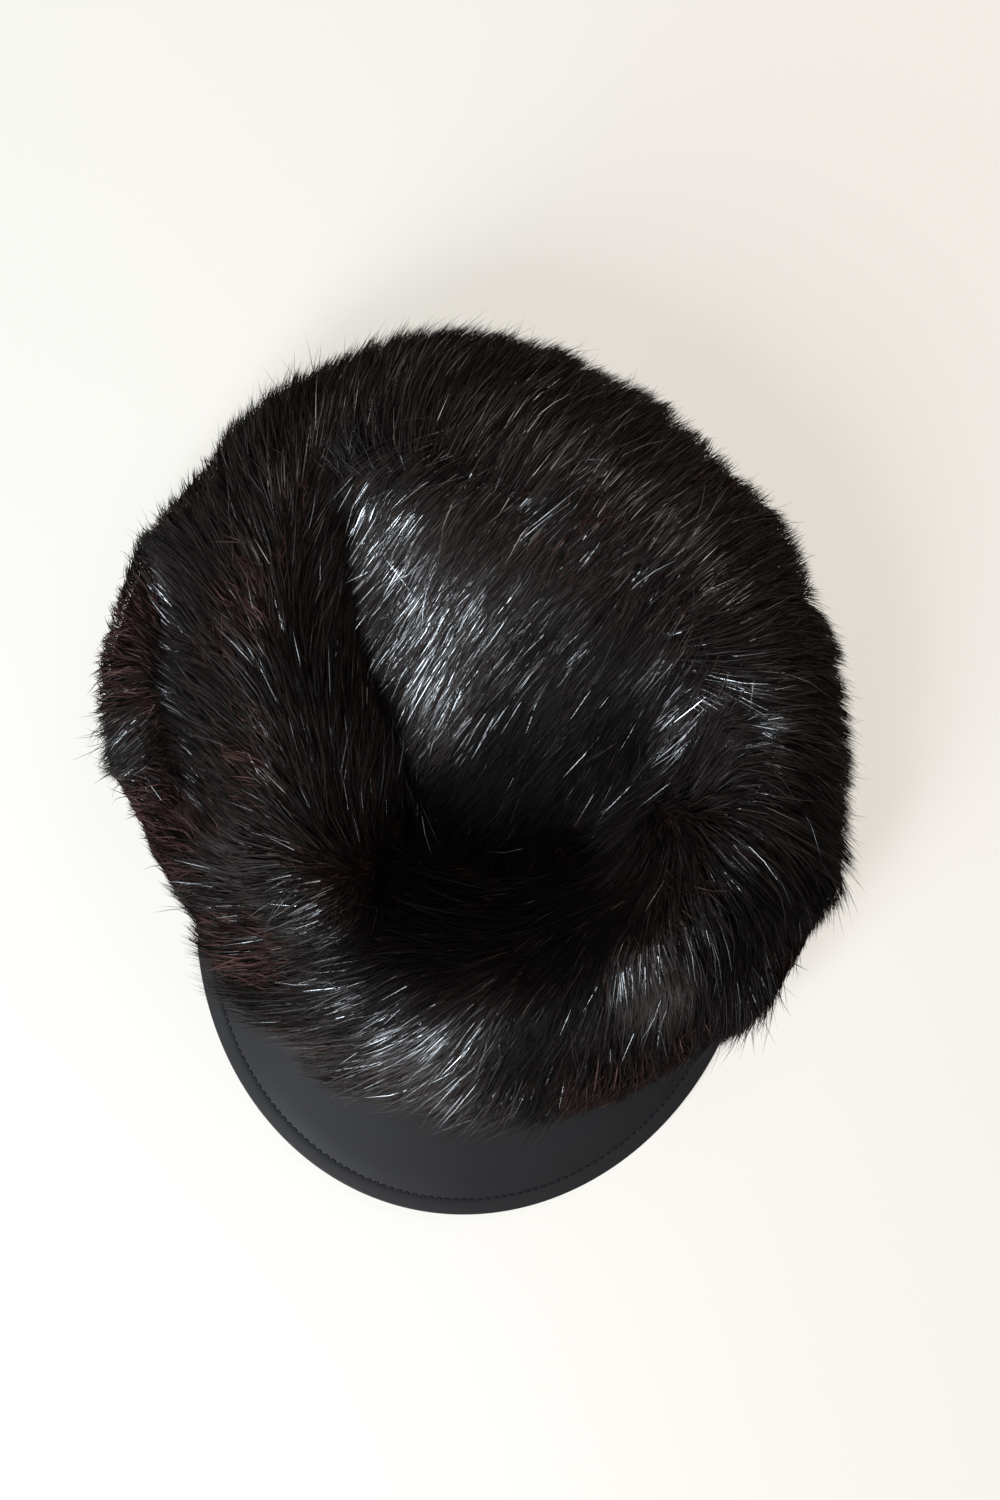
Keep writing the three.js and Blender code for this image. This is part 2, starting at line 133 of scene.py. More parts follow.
# Ranges over which a share of the coat goes from 0 to 1: across (X), to the back (Y), up (HEIGHT),
# by how far the pelt faces up (FACING), or by the distance from a line (NEAR)
VALLEY_X = (-30, -40)
VALLEY_Y = (98, 84)
PIT_Y = (52, 16)
HANGING_FACING = (0.05, -0.35)
FRINGE_Y = (-62, -88)
FRINGE_HEIGHT = (60, 35)
EDGE_FACING = (0.8, 0.4)
EDGE_OVER_FACING = (-0.35, 0.1)
EDGE_Y = (-30, 30)
CREST_NEAR = (22, 4)
RUFFLED_NEAR = (2, 14)
DENSE_FACING = (-0.6, 0.1)
WISP_FACING = (-0.3, 0.1)
RIM_HAIR_HEIGHT = (22, 6)

# The pelt from above: how far the fur reaches and the height of its widest line, every 15 degrees
OUTLINE = (
    (131, 44), (127, 46), (128, 48), (129, 50), (128, 52), (128, 52), (133, 50), (136, 48),
    (134, 46), (133, 42), (132, 37), (134, 33), (134, 32), (129, 34), (122, 38), (119, 40),
    (120, 38), (124, 36), (132, 36), (138, 36), (141, 36), (143, 36), (146, 38), (143, 41),
)
FUR_DEPTH = 6.0
CROWN_CENTRE = (-15.0, 15.0)
HOLLOW_CENTRE = (4.0, -18.0)
PLATEAU_HEIGHT = 42.0
BASE_RISE = 36.0
FOLD_JOIN = 2.5

# The pelt's mesh: the size of its net, and how deep it lies under the coat that the hair grows on
PELT_NET = 3.4
PELT_DEPTH = 1.0

# The coat's net: places round each ring, rings up the side and over the top
AROUND = 240
SIDE_RINGS = 16
TOP_RINGS = 50

# Rolls and folds: rise or fall, half width, and the course from above
FOLDS = (
    (30, 44, ((-34, 100), (15, 94), (52, 68))),
    (25, 24, ((-94, 84), (-96, 44), (-88, 10), (-74, -22), (-60, -46))),
    (21, 23, ((-60, -46), (-32, -70), (0, -79), (34, -72), (62, -48))),
    (24, 24, ((62, -48), (80, -18), (88, 14), (84, 48))),
    (-32, 15, ((-64, 74), (-60, 60), (-55, 44), (-42, 19), (-26, -4))),
    (-45, 25, ((-14, -20), (8, -19), (28, -9))),
    (-27, 17, ((30, -6), (46, 12), (54, 30))),
    (-28, 10, ((-122, 48), (-116, 24), (-111, 4), (-104, -18), (-99, -32))),
    (-12, 10, ((-99, -32), (-84, -52), (-58, -70))),
    (-14, 10, ((28, -90), (55, -79), (80, -58), (98, -32))),
)

# Places where the guard hair is thin and the brown underfur shows: where, how far, the share lost
THIN = (
    (-131, 23, 24, 0.75), (-109, -46, 28, 0.8), (-68, -77, 26, 0.75), (-42, -104, 16, 0.75),
    (62, -92, 22, 0.7), (85, -73, 18, 0.6), (119, -30, 20, 0.7), (-119, 74, 22, 0.55),
    (-90, 29, 26, 0.5), (-84, 62, 24, 0.3), (42, 114, 24, 0.45), (12, 92, 22, 0.4),
    (22, 52, 16, 0.35), (-10, 120, 20, 0.3), (75, 88, 22, 0.3), (-84, -20, 26, 0.5),
)

# Places where most guard hairs are sleek and glossy: where, how far, and their share
SLEEK = (
    (-38, 50, 42, 0.68), (-50, 74, 20, 0.75), (-4, 58, 26, 0.25), (-28, 20, 20, 0.75),
    (-8, -107, 28, 0.9), (16, -118, 20, 0.35), (-40, -106, 16, 0.7), (77, 34, 30, 0.4),
    (92, -2, 16, 0.4), (63, -58, 18, 0.85), (50, -80, 16, 0.2), (-126, 42, 9, 0.9),
    (-85, -45, 14, 0.6), (22, 92, 46, 0.24), (-88, 34, 30, 0.2),
)
SLEEK_ELSEWHERE = 0.14

# Places where the fur hangs further over the peak: where, how far, and how much longer it is
LONGER = ((-64, -88, 22, 1.2), (-46, -98, 22, 1.7), (-16, -112, 18, 0.9), (58, -98, 20, 0.6))

# Painted shade: places where the hair is made darker and duller to stand in for shade on the pit
# and the other dark places: where, how far, and by what share
PAINTED_SHADE = (
    (8, -4, 42, 1.0), (45, -88, 32, 0.8), (100, -30, 30, 0.7), (-62, 30, 22, 0.6),
    (-16, -54, 30, 0.95), (30, -48, 32, 0.95), (88, -84, 26, 0.6), (18, 46, 26, 0.6),
    (30, 18, 30, 0.85), (90, 4, 22, 0.5),
)

# Strands: steps worked out along each hair, sides of its spindle, its map, the spread and limits of
# its length, how far it lifts, hairs in a small and a large tuft, how far a tuft reaches, how its
# strands are pulled in (the shape of the draw, and the power along the strand), least gaps in
# metres to the floor and the peak, and the power by which most hair is dull
GROWTH_STEPS = 6
STRAND_SIDES = 3
STRAND_MAP = "OFBake"
LENGTH_SPREAD = 0.16
LENGTH_LIMITS = (0.6, 1.35)
LIFT, LIFT_SPREAD = 0.03, 0.05
SMALL_TUFT = 12
LARGE_TUFT = 70
TUFT_REACH = 12.0
TUFT_PULL = (2.2, 1.6)
TUFT_POWER = 1.6
HAIR_GAP = 0.0004
GROWTH_GAP = 0.0007
ROOT_GAP = 0.0003
FLOOR_GAP = 0.0001
DULL_POWER = 1.8
PALE_HAIR = (0.09, 0.075, 0.07, 1)

# Stage: the camera straight above, and the colour of the floor's painted glow: a painted falloff of
# light, paler and whiter on the light's side and darker and warmer on the other
CAMERA_HEIGHT = 1.33
CAMERA_TURN = 11.05
CAMERA_SHIFT = 0.02
PICTURE_HEIGHT = 0.54
FLOOR_FADE = (0.95, 0.3, 0)
FLOOR_NEAR_LIGHT = (1.0, 0.985, 0.925, 1)
FLOOR_FAR_FROM_LIGHT = (0.965, 0.91, 0.83, 1)


class FurSettings(bpy.types.PropertyGroup):
    guard_length: FloatProperty(
        name="Guard hair length", description="Usual length of a guard hair",
        default=0.024, min=0.005, max=0.06, unit="LENGTH")
    guard_width: FloatProperty(
        name="Guard hair width", description="Width of a guard hair at its widest",
        default=0.0004, min=0.0001, max=0.002, unit="LENGTH")
    guard_count: IntProperty(
        name="Guard hairs", description="Number of guard hairs on the crown",
        default=99000, min=100, max=99000)
    underfur_length: FloatProperty(
        name="Underfur length", description="Usual length of an underfur strand",
        default=0.011, min=0.003, max=0.03, unit="LENGTH")
    underfur_width: FloatProperty(
        name="Underfur width", description="Width of an underfur strand at its widest",
        default=0.0006, min=0.0001, max=0.002, unit="LENGTH")
    underfur_count: IntProperty(
        name="Underfur strands", description="Number of underfur strands on the crown",
        default=28000, min=100, max=60000)
    wisp_length: FloatProperty(
        name="Wisp length", description="Usual length of the long single hairs",
        default=0.026, min=0.005, max=0.06, unit="LENGTH")
    wisp_count: IntProperty(
        name="Wisps", description="Number of long single hairs",
        default=7000, min=10, max=16000)
    clumping: FloatProperty(
        name="Clumping", description="How far the tips of neighbouring hairs draw together",
        default=0.55, min=0.0, max=1.0, subtype="FACTOR")
    guard_colour: FloatVectorProperty(
        name="Guard hair colour", description="Colour of the guard hairs towards their tips",
        default=(0.0060, 0.0045, 0.0039), size=3, min=0.0, max=1.0, subtype="COLOR")
    underfur_colour: FloatVectorProperty(
        name="Underfur colour", description="Colour of the dense short underfur",
        default=(0.0155, 0.0077, 0.0066), size=3, min=0.0, max=1.0, subtype="COLOR")
    skin_colour: FloatVectorProperty(
        name="Skin side colour", description="Colour of the pelt's plain inner side",
        default=(0.030, 0.022, 0.018), size=3, min=0.0, max=1.0, subtype="COLOR")


class PeakSettings(bpy.types.PropertyGroup):
    edge_round: FloatProperty(
        name="Edge rounding", description="Width of the rounding on the peak's edge",
        default=0.0009, min=0.0001, max=0.0014, unit="LENGTH")
    stitch_inset: FloatProperty(
        name="Stitch inset", description="Distance of the stitched row from the peak's edge",
        default=0.0054, min=0.002, max=0.02, unit="LENGTH")
    stitch_pitch: FloatProperty(
        name="Stitch pitch", description="Distance from one stitch to the next",
        default=0.0029, min=0.001, max=0.01, unit="LENGTH")
    stitch_width: FloatProperty(
        name="Thread width", description="Thickness of the sewing thread",
        default=0.0011, min=0.0002, max=0.002, unit="LENGTH")
    leather_colour: FloatVectorProperty(
        name="Leather colour", description="Colour of the peak's smooth leather",
        default=(0.0029, 0.0027, 0.0026), size=3, min=0.0, max=1.0, subtype="COLOR")
    thread_colour: FloatVectorProperty(
        name="Thread colour", description="Colour of the stitches",
        default=(0.0022, 0.0022, 0.0024), size=3, min=0.0, max=1.0, subtype="COLOR")


class StageSettings(bpy.types.PropertyGroup):
    # The floor's own colour is kept dark so that the cap casts only a faint shadow; the floor looks
    # pale mostly by its painted glow.
    floor_colour: FloatVectorProperty(
        name="Floor colour", description="Colour of the pale floor",
        default=(0.036, 0.033, 0.0305), size=3, min=0.0, max=1.0, subtype="COLOR")
    # Painted light: the floor glows though it is no lamp, lighting the cap from below and lifting
    # its shadow.
    floor_glow: FloatProperty(
        name="Floor glow", description="Light that the pale table gives by itself",
        default=0.7, min=0.0, max=5.0)
    key_energy: FloatProperty(
        name="Key light", description="Power of the large light at the front left",
        default=212.0, min=0.0, max=1000.0, unit="POWER")
    fill_energy: FloatProperty(
        name="Fill light", description="Power of the wide soft light from behind",
        default=40.0, min=0.0, max=1000.0, unit="POWER")
    sky_strength: FloatProperty(
        name="Surrounding light", description="Strength of the even light from all round",
        default=0.3, min=0.0, max=10.0)


# ---------------------------------------------------------------- helpers


def to_row(x, y, z=0.0):
    """A point of the cap's plan, in millimetres, as a point of the frame in metres."""
    return Vector((PLAN_X + x * MM, PLAN_Y + y * MM, z * MM))


def to_plan(points):
    """Points of the frame in metres, seen from above as points of the cap's plan in millimetres."""
    return (points[:, :2] - (PLAN_X, PLAN_Y)) / MM


def unit(rows):
    """Each row as a direction of length 1."""
    return rows / np.maximum(np.linalg.norm(rows, axis=-1, keepdims=True), 1e-12)


def smooth(low, high, value):
    """From 0 at low to 1 at high, eased at both ends."""
    t = np.clip((value - low) / (high - low), 0, 1)
    return t * t * (3 - 2 * t)


def near_tree(points):
    """A tree that finds the nearest of the points."""
    tree = KDTree(len(points))
    for i, point in enumerate(points.tolist()):
        tree.insert(point, i)
    tree.balance()
    return tree


def nearest_in(tree, points):
    """Number of the tree's own point that is nearest to each point."""
    return np.array([tree.find(point)[1] for point in points.tolist()])


def only(obj):
    """Leaves one object selected and active."""
    bpy.ops.object.select_all(action="DESELECT")
    obj.hide_set(False)
    obj.select_set(True)
    bpy.context.view_layer.objects.active = obj


def apply_modifier(obj, kind, **values):
    """Adds a modifier of a kind with its values, and applies it."""
    only(obj)
    modifier = obj.modifiers.new(kind.title(), kind)
    for name, value in values.items():
        setattr(modifier, name, value)
    bpy.ops.object.modifier_apply(modifier=modifier.name)


def link(data, name):
    """A new object of the scene that holds a mesh, light or camera."""
    obj = bpy.data.objects.new(name, data)
    bpy.context.scene.collection.objects.link(obj)
    return obj


def corners_of(mesh):
    """Places of a mesh's corners, a row for each."""
    co = np.zeros(len(mesh.vertices) * 3)
    mesh.vertices.foreach_get("co", co)
    return co.reshape(-1, 3)


# ---------------------------------------------------------------- materials


def feed(tree, node, inputs):
    """Gives each named input a value, or the output that feeds it."""
    for socket, given in inputs.items():
        if isinstance(given, bpy.types.NodeSocket):
            tree.links.new(given, node.inputs[socket])
        else:
            node.inputs[socket].default_value = given


def add_node(tree, kind, inputs=None, **settings):
    """Adds a shader node with its settings and its inputs, and gives back its outputs."""
    node = tree.nodes.new(f"ShaderNode{kind}")
    for name, value in settings.items():
        setattr(node, name, value)
    feed(tree, node, inputs or {})
    return node.outputs


def ramp(tree, value, low=0.0, high=1.0, start=0.0, end=1.0, kind="LINEAR"):
    """Takes a value from low..high to start..end."""
    return add_node(
        tree, "MapRange",
        {"Value": value, "From Min": low, "From Max": high, "To Min": start, "To Max": end},
        interpolation_type=kind)["Result"]


def mix(tree, share, first, second):
    """A colour between two colours."""
    return add_node(
        tree, "Mix", {"Factor": share, "A": first, "B": second}, data_type="RGBA")["Result"]


def new_material(name, roughness, specular):
    """A material with its node tree and its shader."""
    material = bpy.data.materials.new(name)
    material.use_nodes = True
    tree = material.node_tree
    shader = tree.nodes["Principled BSDF"]
    feed(tree, shader, {"Roughness": roughness, "Specular IOR Level": specular})
    return material, tree, shader


def new_group(name, inputs, outputs):
    """A node group, the outputs that hold what it is given, and the node for what it puts out."""
    group = bpy.data.node_groups.new(name, "ShaderNodeTree")
    for socket, kind, value in inputs:
        made = group.interface.new_socket(
            name=socket, in_out="INPUT", socket_type=f"NodeSocket{kind}")
        if value is not None:
            made.default_value = value
    for socket, kind in outputs:
        group.interface.new_socket(name=socket, in_out="OUTPUT", socket_type=f"NodeSocket{kind}")
    return group, group.nodes.new("NodeGroupInput").outputs, group.nodes.new("NodeGroupOutput")


def strand_shade_group():
    """Colour and gloss of a strand from its tone (U) and the place along it (V).

    A tone up to a half is dull hair with a faint coat, and above it sleek hair with a full one.
    """
    name = "Strand Shade"
    if name in bpy.data.node_groups:
        return bpy.data.node_groups[name]
    group, given, put = new_group(
        name,
        [("Strand", "Vector", None), ("Root Colour", "Color", None), ("Tip Colour", "Color", None),
         ("Pale Share", "Float", 0.1), ("Root Length", "Float", 0.4), ("Dull", "Float", 0.6),
         ("Sleek", "Float", 0.3)],
        [("Colour", "Color"), ("Roughness", "Float"), ("Coat", "Float")])
    strand = add_node(group, "SeparateXYZ", {0: given["Strand"]})
    tone, along = strand["X"], strand["Y"]
    to_tip = ramp(group, along, high=given["Root Length"], kind="SMOOTHSTEP")
    own = mix(group, to_tip, given["Root Colour"], given["Tip Colour"])
    # The tone darkens the colour: at random from hair to hair, and further where painted shade has
    # lowered it.
    level = ramp(group, tone, high=0.5, start=0.15, end=1.2)
    toned = add_node(group, "VectorMath", {0: own, "Scale": level}, operation="SCALE")["Vector"]
    pale = ramp(group, tone, low=0.93, end=given["Pale Share"])
    colour = mix(group, pale, toned, PALE_HAIR)
    rough = ramp(group, tone, high=0.9, start=given["Dull"], end=given["Sleek"])
    full = ramp(group, tone, low=0.55, high=0.85, kind="SMOOTHSTEP")
    faint = ramp(group, tone, low=0.1, high=0.5, end=0.24)
    gloss = add_node(group, "Math", {0: full, 1: faint}, operation="MAXIMUM")[0]
    feed(group, put, {"Colour": colour, "Roughness": rough, "Coat": gloss})
    return group


def fine_grain_group():
    """Height and mask of a fine leather or skin grain."""
    name = "Fine Grain"
    if name in bpy.data.node_groups:
        return bpy.data.node_groups[name]
    group, given, put = new_group(
        name,
        [("Place", "Vector", None), ("Scale", "Float", 900.0), ("Blotch Scale", "Float", 30.0)],
        [("Height", "Float"), ("Blotch", "Float")])
    place, scale = given["Place"], given["Scale"]
    cells = add_node(
        group, "TexVoronoi", {"Vector": place, "Scale": scale}, feature="DISTANCE_TO_EDGE")
    rise = ramp(group, cells["Distance"], high=0.12)
    fine = add_node(group, "TexNoise", {"Vector": place, "Scale": scale, "Detail": 4.0})["Fac"]
    height = add_node(group, "Math", {0: rise, 1: 0.6, 2: fine}, operation="MULTIPLY_ADD")[0]
    wide = add_node(
        group, "TexNoise", {"Vector": place, "Scale": given["Blotch Scale"], "Detail": 3.0})["Fac"]
    feed(group, put, {"Height": height, "Blotch": wide})
    return group


def strand_material(name, root, tip, dull, sleek, root_length, pale):
    """Hair that turns from its root's colour to its tip's, with a coat where it can be sleek."""
    material, tree, shader = new_material(name, dull, specular=0.01)
    shade = add_node(
        tree, "Group",
        {"Strand": add_node(tree, "UVMap", uv_map=STRAND_MAP)["UV"], "Root Colour": (*root, 1),
         "Tip Colour": (*tip, 1), "Pale Share": pale, "Root Length": root_length, "Dull": dull,
         "Sleek": sleek},
        node_tree=strand_shade_group())
    feed(tree, shader, {
        "Base Color": shade["Colour"], "Roughness": shade["Roughness"], "Coat Roughness": sleek})
    if sleek < dull:
        feed(tree, shader, {"Coat Weight": shade["Coat"]})
    return material


def grained_material(
        name, colour, tones, scale, blotch_scale, strength, depth, roughness, specular):
    """Blotches between two tones of a colour, and a grain raised by bump."""
    material, tree, shader = new_material(name, roughness, specular)
    grain = add_node(
        tree, "Group",
        {"Place": add_node(tree, "TexCoord")["Object"], "Scale": scale,
         "Blotch Scale": blotch_scale},
        node_tree=fine_grain_group())
    dark, light = [(*[c * tone for c in colour], 1) for tone in tones]
    blotched = mix(tree, grain["Blotch"], dark, light)
    bump = add_node(
        tree, "Bump", {"Strength": strength, "Distance": depth, "Height": grain["Height"]})
    feed(tree, shader, {"Base Color": blotched, "Normal": bump["Normal"]})
    return material, tree, shader, grain["Blotch"], blotched, light


def skin_material(name, colour, scale, roughness, depth):
    """Suede-like skin: grain, blotches and a dry surface."""
    return grained_material(
        name, colour, tones=(0.55, 1.5), scale=scale, blotch_scale=30.0, strength=0.5, depth=depth,
        roughness=roughness, specular=0.02)[0]


def leather_material(name, colour):
    """Smooth finished leather: fine grain, faint blotches, and a slightly paler rim that is partly
    wear and partly a painted highlight along the rolled edge.
    """
    material, tree, shader, blotch, blotched, light = grained_material(
        name, colour, tones=(0.8, 1.25), scale=1500.0, blotch_scale=22.0, strength=0.25,
        depth=0.00008, roughness=0.5, specular=0.025)
    # The paler rim is partly wear and partly a painted highlight on the rolled edge, mixed in with
    # the blotches.
    scuff_sheen_mask = add_node(tree, "Attribute", attribute_name="scuff_and_sheen")["Fac"]
    scuff_sheen_mix = add_node(tree, "Math", {0: scuff_sheen_mask, 1: blotch}, operation="MULTIPLY")[0]
    feed(tree, shader, {
        "Base Color": mix(tree, scuff_sheen_mix, blotched, light),
        "Roughness": ramp(tree, blotch, start=0.34, end=0.56),
        "Specular Tint": (1.0, 0.91, 0.88, 1)})
    return material


# ---------------------------------------------------------------- the pelt


def hollow_faces(bm):
    """Faces of the merged crown that line the hollow.

    They are all that is reached from its ceiling without crossing the rim.
    """
    bm.faces.ensure_lookup_table()
    tree = BVHTree.FromBMesh(bm)
    _, _, ceiling, _ = tree.ray_cast(to_row(HEAD[0], HEAD[1], 2), Vector((0, 0, 1)))
    if ceiling is None:
        raise RuntimeError("no ceiling above the head opening")

    def rim(face):
        return face.normal.z < RIM_FACING and face.calc_center_median().z < RIM_HEIGHT * MM

    found = {ceiling}
    front = [bm.faces[ceiling]]
    while front:
        face = front.pop()
        for edge in face.edges:
            for other in edge.link_faces:
                if other.index not in found and not rim(other):
                    found.add(other.index)
                    front.append(other)
    return tree, found


def make_pelt(coat):
    """The pelt: the crown's wall, evened out to a fine net, its outer side laid under the coat."""
    pelt = link(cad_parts["crown"].data.copy(), "fur_pelt")
    pelt.data.materials.clear()
    only(pelt)
    bpy.ops.object.mode_set(mode="EDIT")
    bpy.ops.mesh.select_all(action="SELECT")
    bpy.ops.mesh.remove_doubles(threshold=0.00001)
    bpy.ops.object.mode_set(mode="OBJECT")
    bm = bmesh.new()
    bm.from_mesh(pelt.data)
    tree, hollow = hollow_faces(bm)
    apply_modifier(pelt, "REMESH", mode="VOXEL", voxel_size=PELT_NET * MM, use_smooth_shade=True)
    mesh = pelt.data
    inner = np.array([tree.find_nearest(p.center)[2] in hollow for p in mesh.polygons])
    bm.free()
    places = corners_of(mesh)
    lining = np.zeros(len(places), bool)
    for polygon, is_inner in zip(mesh.polygons, inner):
        if is_inner:
            lining[list(polygon.vertices)] = True
    outer = np.nonzero(~lining)[0]
    near, height = coat.height_over(places[outer])
    fall = np.clip(height + PELT_DEPTH * MM, 0, None)
    places[outer] -= coat.normals[near] * fall[:, None]
    mesh.vertices.foreach_set("co", places.astype(np.float32).ravel())
    mesh.update()
    apply_modifier(pelt, "SMOOTH", factor=0.5, iterations=4)
    return pelt, inner


def along_course(points, course):
    """Distance of each point from a course, and the side: above 0 on its left."""
    best = np.full(len(points), np.inf)
    side = np.zeros(len(points))
    for (ax, ay), (bx, by) in zip(course, course[1:]):
        way = np.array([bx - ax, by - ay], float)
        off = points - (ax, ay)
        t = np.clip(off @ way / (way @ way), 0, 1)
        far = np.linalg.norm(off - t[:, None] * way, axis=1)
        turn = way[0] * off[:, 1] - way[1] * off[:, 0]
        nearer = far < best
        best = np.where(nearer, far, best)
        side = np.where(nearer, turn, side)
    return best, side


def fold_height(plan):
    """Rolls join into one another without piling up, and so do the falls."""
    up, down = np.zeros(len(plan)), np.zeros(len(plan))
    for rise, width, course in FOLDS:
        far, _ = along_course(plan, course)
        height = abs(rise) * np.exp(-((far / width) ** 2))
        if rise > 0:
            up += height ** FOLD_JOIN
        else:
            down += height ** FOLD_JOIN
    return up ** (1 / FOLD_JOIN) - down ** (1 / FOLD_JOIN)


def bend(values, t):
    """A smooth curve from the first value to the last, drawn towards the two between them."""
    a, b, c, d = values
    return a * (1 - t) ** 3 + 3 * b * t * (1 - t) ** 2 + 3 * c * t * t * (1 - t) + d * t ** 3


def pelt_point(turn, t):
    """Outer face of the pelt: t runs 0..1 up the side to the widest line, and 1..2 over the top."""
    place = np.degrees(turn) % 360 / (360 / len(OUTLINE))
    low = place.astype(int) % len(OUTLINE)
    part = place - place.astype(int)
    part = part * part * (3 - 2 * part)
    table = np.array(OUTLINE, float)
    row = table[low] * (1 - part)[:, None] + table[(low + 1) % len(OUTLINE)] * part[:, None]
    reach, wide = row[:, 0] - FUR_DEPTH, row[:, 1]
    across, along = np.cos(turn), np.sin(turn)
    edge = np.stack([CROWN_CENTRE[0] + reach * across, CROWN_CENTRE[1] + reach * along], 1)
    rim = np.stack([
        HEAD[0] + (HEAD[2] + RIM_WIDTH) * across, HEAD[1] + (HEAD[3] + RIM_WIDTH) * along], 1)
    s = np.clip(t, 0, 1)
    side = rim + (edge - rim) * bend((0, 0.35, 1, 1), s)[:, None]
    side_height = wide * bend((0, 0.25, 0.35, 1), s)
    rho = np.cos((np.clip(t, 1, 2) - 1) * math.pi / 2)
    top = HOLLOW_CENTRE + rho[:, None] * (edge - HOLLOW_CENTRE)
    base = PLATEAU_HEIGHT + (wide - PLATEAU_HEIGHT) * smooth(0.22, 1.0, rho)
    cover = np.sqrt(1 - np.minimum(1, rho) ** 3.2)
    top_height = base + cover * (BASE_RISE + fold_height(top))
    over = (t > 1)[:, None]
    plan = np.where(over, top, side)
    height = np.where(over[:, 0], top_height, side_height)
    return np.column_stack([PLAN_X + plan[:, 0] * MM, PLAN_Y + plan[:, 1] * MM, height * MM])


class Coat:
    """The pelt's outer face as a net of places, with the way the fur lies on it."""

    def __init__(self):
        up_side = np.linspace(0.04, 1, SIDE_RINGS)
        over_top = 1 + 2 / math.pi * np.arccos(np.linspace(1, 0.012, TOP_RINGS)[1:])
        heights = np.concatenate([up_side, over_top])
        turn, t = np.meshgrid(np.arange(AROUND) * 2 * math.pi / AROUND, heights)
        self.places = pelt_point(turn.ravel(), t.ravel())
        grid = np.arange(len(heights) * AROUND).reshape(len(heights), AROUND)
        right = np.roll(grid, -1, axis=1)
        a, b, c, d = grid[:-1], right[:-1], right[1:], grid[1:]
        self.triangles = np.concatenate([
            np.stack([a, b, c], -1).reshape(-1, 3), np.stack([a, c, d], -1).reshape(-1, 3)])
        a, b, c = (self.places[self.triangles[:, k]] for k in range(3))
        flat = np.cross(b - a, c - a)
        self.normals = np.zeros_like(self.places)
        for k in range(3):
            np.add.at(self.normals, self.triangles[:, k], flat)
        self.normals = unit(self.normals)
        self.tree = near_tree(self.places)
        self.peak = BVHTree.FromObject(
            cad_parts["peak"], bpy.context.evaluated_depsgraph_get())
        self.plan = to_plan(self.places)
        self.thin = thin_share(self.plan)
        far, side = along_course(self.plan, PARTING)
        x, y = self.plan.T
        valley = smooth(*VALLEY_X, x) * smooth(*VALLEY_Y, y)
        low = smooth(*PIT_Y, y)
        blur = PARTING_BLUR + (VALLEY_BLUR - PARTING_BLUR) * np.maximum(valley, 0.8 * low)
        self.back_share = smooth(-1, 1, far * np.sign(side) / blur)
        self.ways = [self.way_of_fur(NAP_SLOPE), self.way_of_fur(NAP + NAP_BACK)]
        lifted = self.above_peak(self.places.copy(), ROOT_GAP)
        self.free = (lifted[:, 2] - self.places[:, 2] < HAIR_GAP).astype(float)

    def way_of_fur(self, table):
        """The nap on top, falling on slopes, and down and in below the widest line."""
        x, y = self.plan.T
        rows = np.array(table, float)
        apart = ((self.plan[:, None, :] - rows[None, :, :2]) ** 2).sum(2)
        weight = (apart + NAP_BLUR) ** -1.5
        angle = np.radians(rows[:, 2])
        level = np.arctan2((weight * np.sin(angle)).sum(1), (weight * np.cos(angle)).sum(1))
        turn = 0.10 * np.sin(x * 0.19 + 1.7 * np.sin(y * 0.11))
        turn += 0.08 * np.sin(y * 0.23 + 1.3 * np.sin(x * 0.13))
        level = level + turn
        flat = np.stack([np.cos(level), np.sin(level), np.full(len(level), -NAP_FALL)], 1)
        down = np.array([[0.0, 0.0, -1.0]])
        share = smooth(*HANGING_FACING, self.normals[:, 2])[:, None]
        way = unit(flat) * (1 - share) + down * share
        out = (way * self.normals).sum(1, keepdims=True)
        kept = np.where(out > 0, EDGE_STAND * self.ragged()[:, None], 0.0)
        way -= out * (1 - kept) * self.normals
        return unit(way)

    def fringe(self):
        """How much longer the hair is where it hangs over the peak."""
        front = smooth(*FRINGE_Y, self.plan[:, 1])
        return 1 + FRINGE * (front * smooth(*FRINGE_HEIGHT, self.places[:, 2] / MM))

    def ragged(self):
        """Share to which the hair stands off the pelt along the cap's edge."""
        facing = self.normals[:, 2]
        steep = smooth(*EDGE_FACING, facing) * smooth(*EDGE_OVER_FACING, facing)
        return steep * smooth(*EDGE_Y, self.plan[:, 1])

    def near_parting(self):
        """Share to which a place is close to the crest, where the fur parts."""
        far, _ = along_course(self.plan, CREST)
        return smooth(*CREST_NEAR, far)

    def density(self, under, at_rim, at_fringe):
        """How densely hair grows: less under the overhang, more at the rim and over the peak."""
        share = under + (1 - under) * smooth(*DENSE_FACING, self.normals[:, 2])
        share += at_rim * smooth(*RIM_HAIR_HEIGHT, self.places[:, 2] / MM)
        return share + at_fringe * (self.fringe() - 1) / FRINGE

    def height_over(self, points):
        """The place nearest to each point, and how high the point is over the coat there."""
        near = nearest_in(self.tree, points)
        return near, ((points - self.places[near]) * self.normals[near]).sum(1)

    def above_peak(self, points, gap):
        """Lifts the points that are in or under the peak on to it, and all points off the floor."""
        plan = to_plan(points)
        low = points[:, 2] < PEAK_ZONE["height"] * MM
        front = (plan[:, 1] < PEAK_ZONE["back"]) & (np.abs(plan[:, 0]) < PEAK_ZONE["side"])
        down = Vector((0, 0, -1))
        for i in np.nonzero(low & front)[0]:
            hit = self.peak.ray_cast(Vector((points[i, 0], points[i, 1], 0.1)), down)[0]
            if hit is not None and points[i, 2] < hit.z + gap:
                points[i, 2] = hit.z + gap
        points[:, 2] = np.maximum(points[:, 2], gap)
        return points

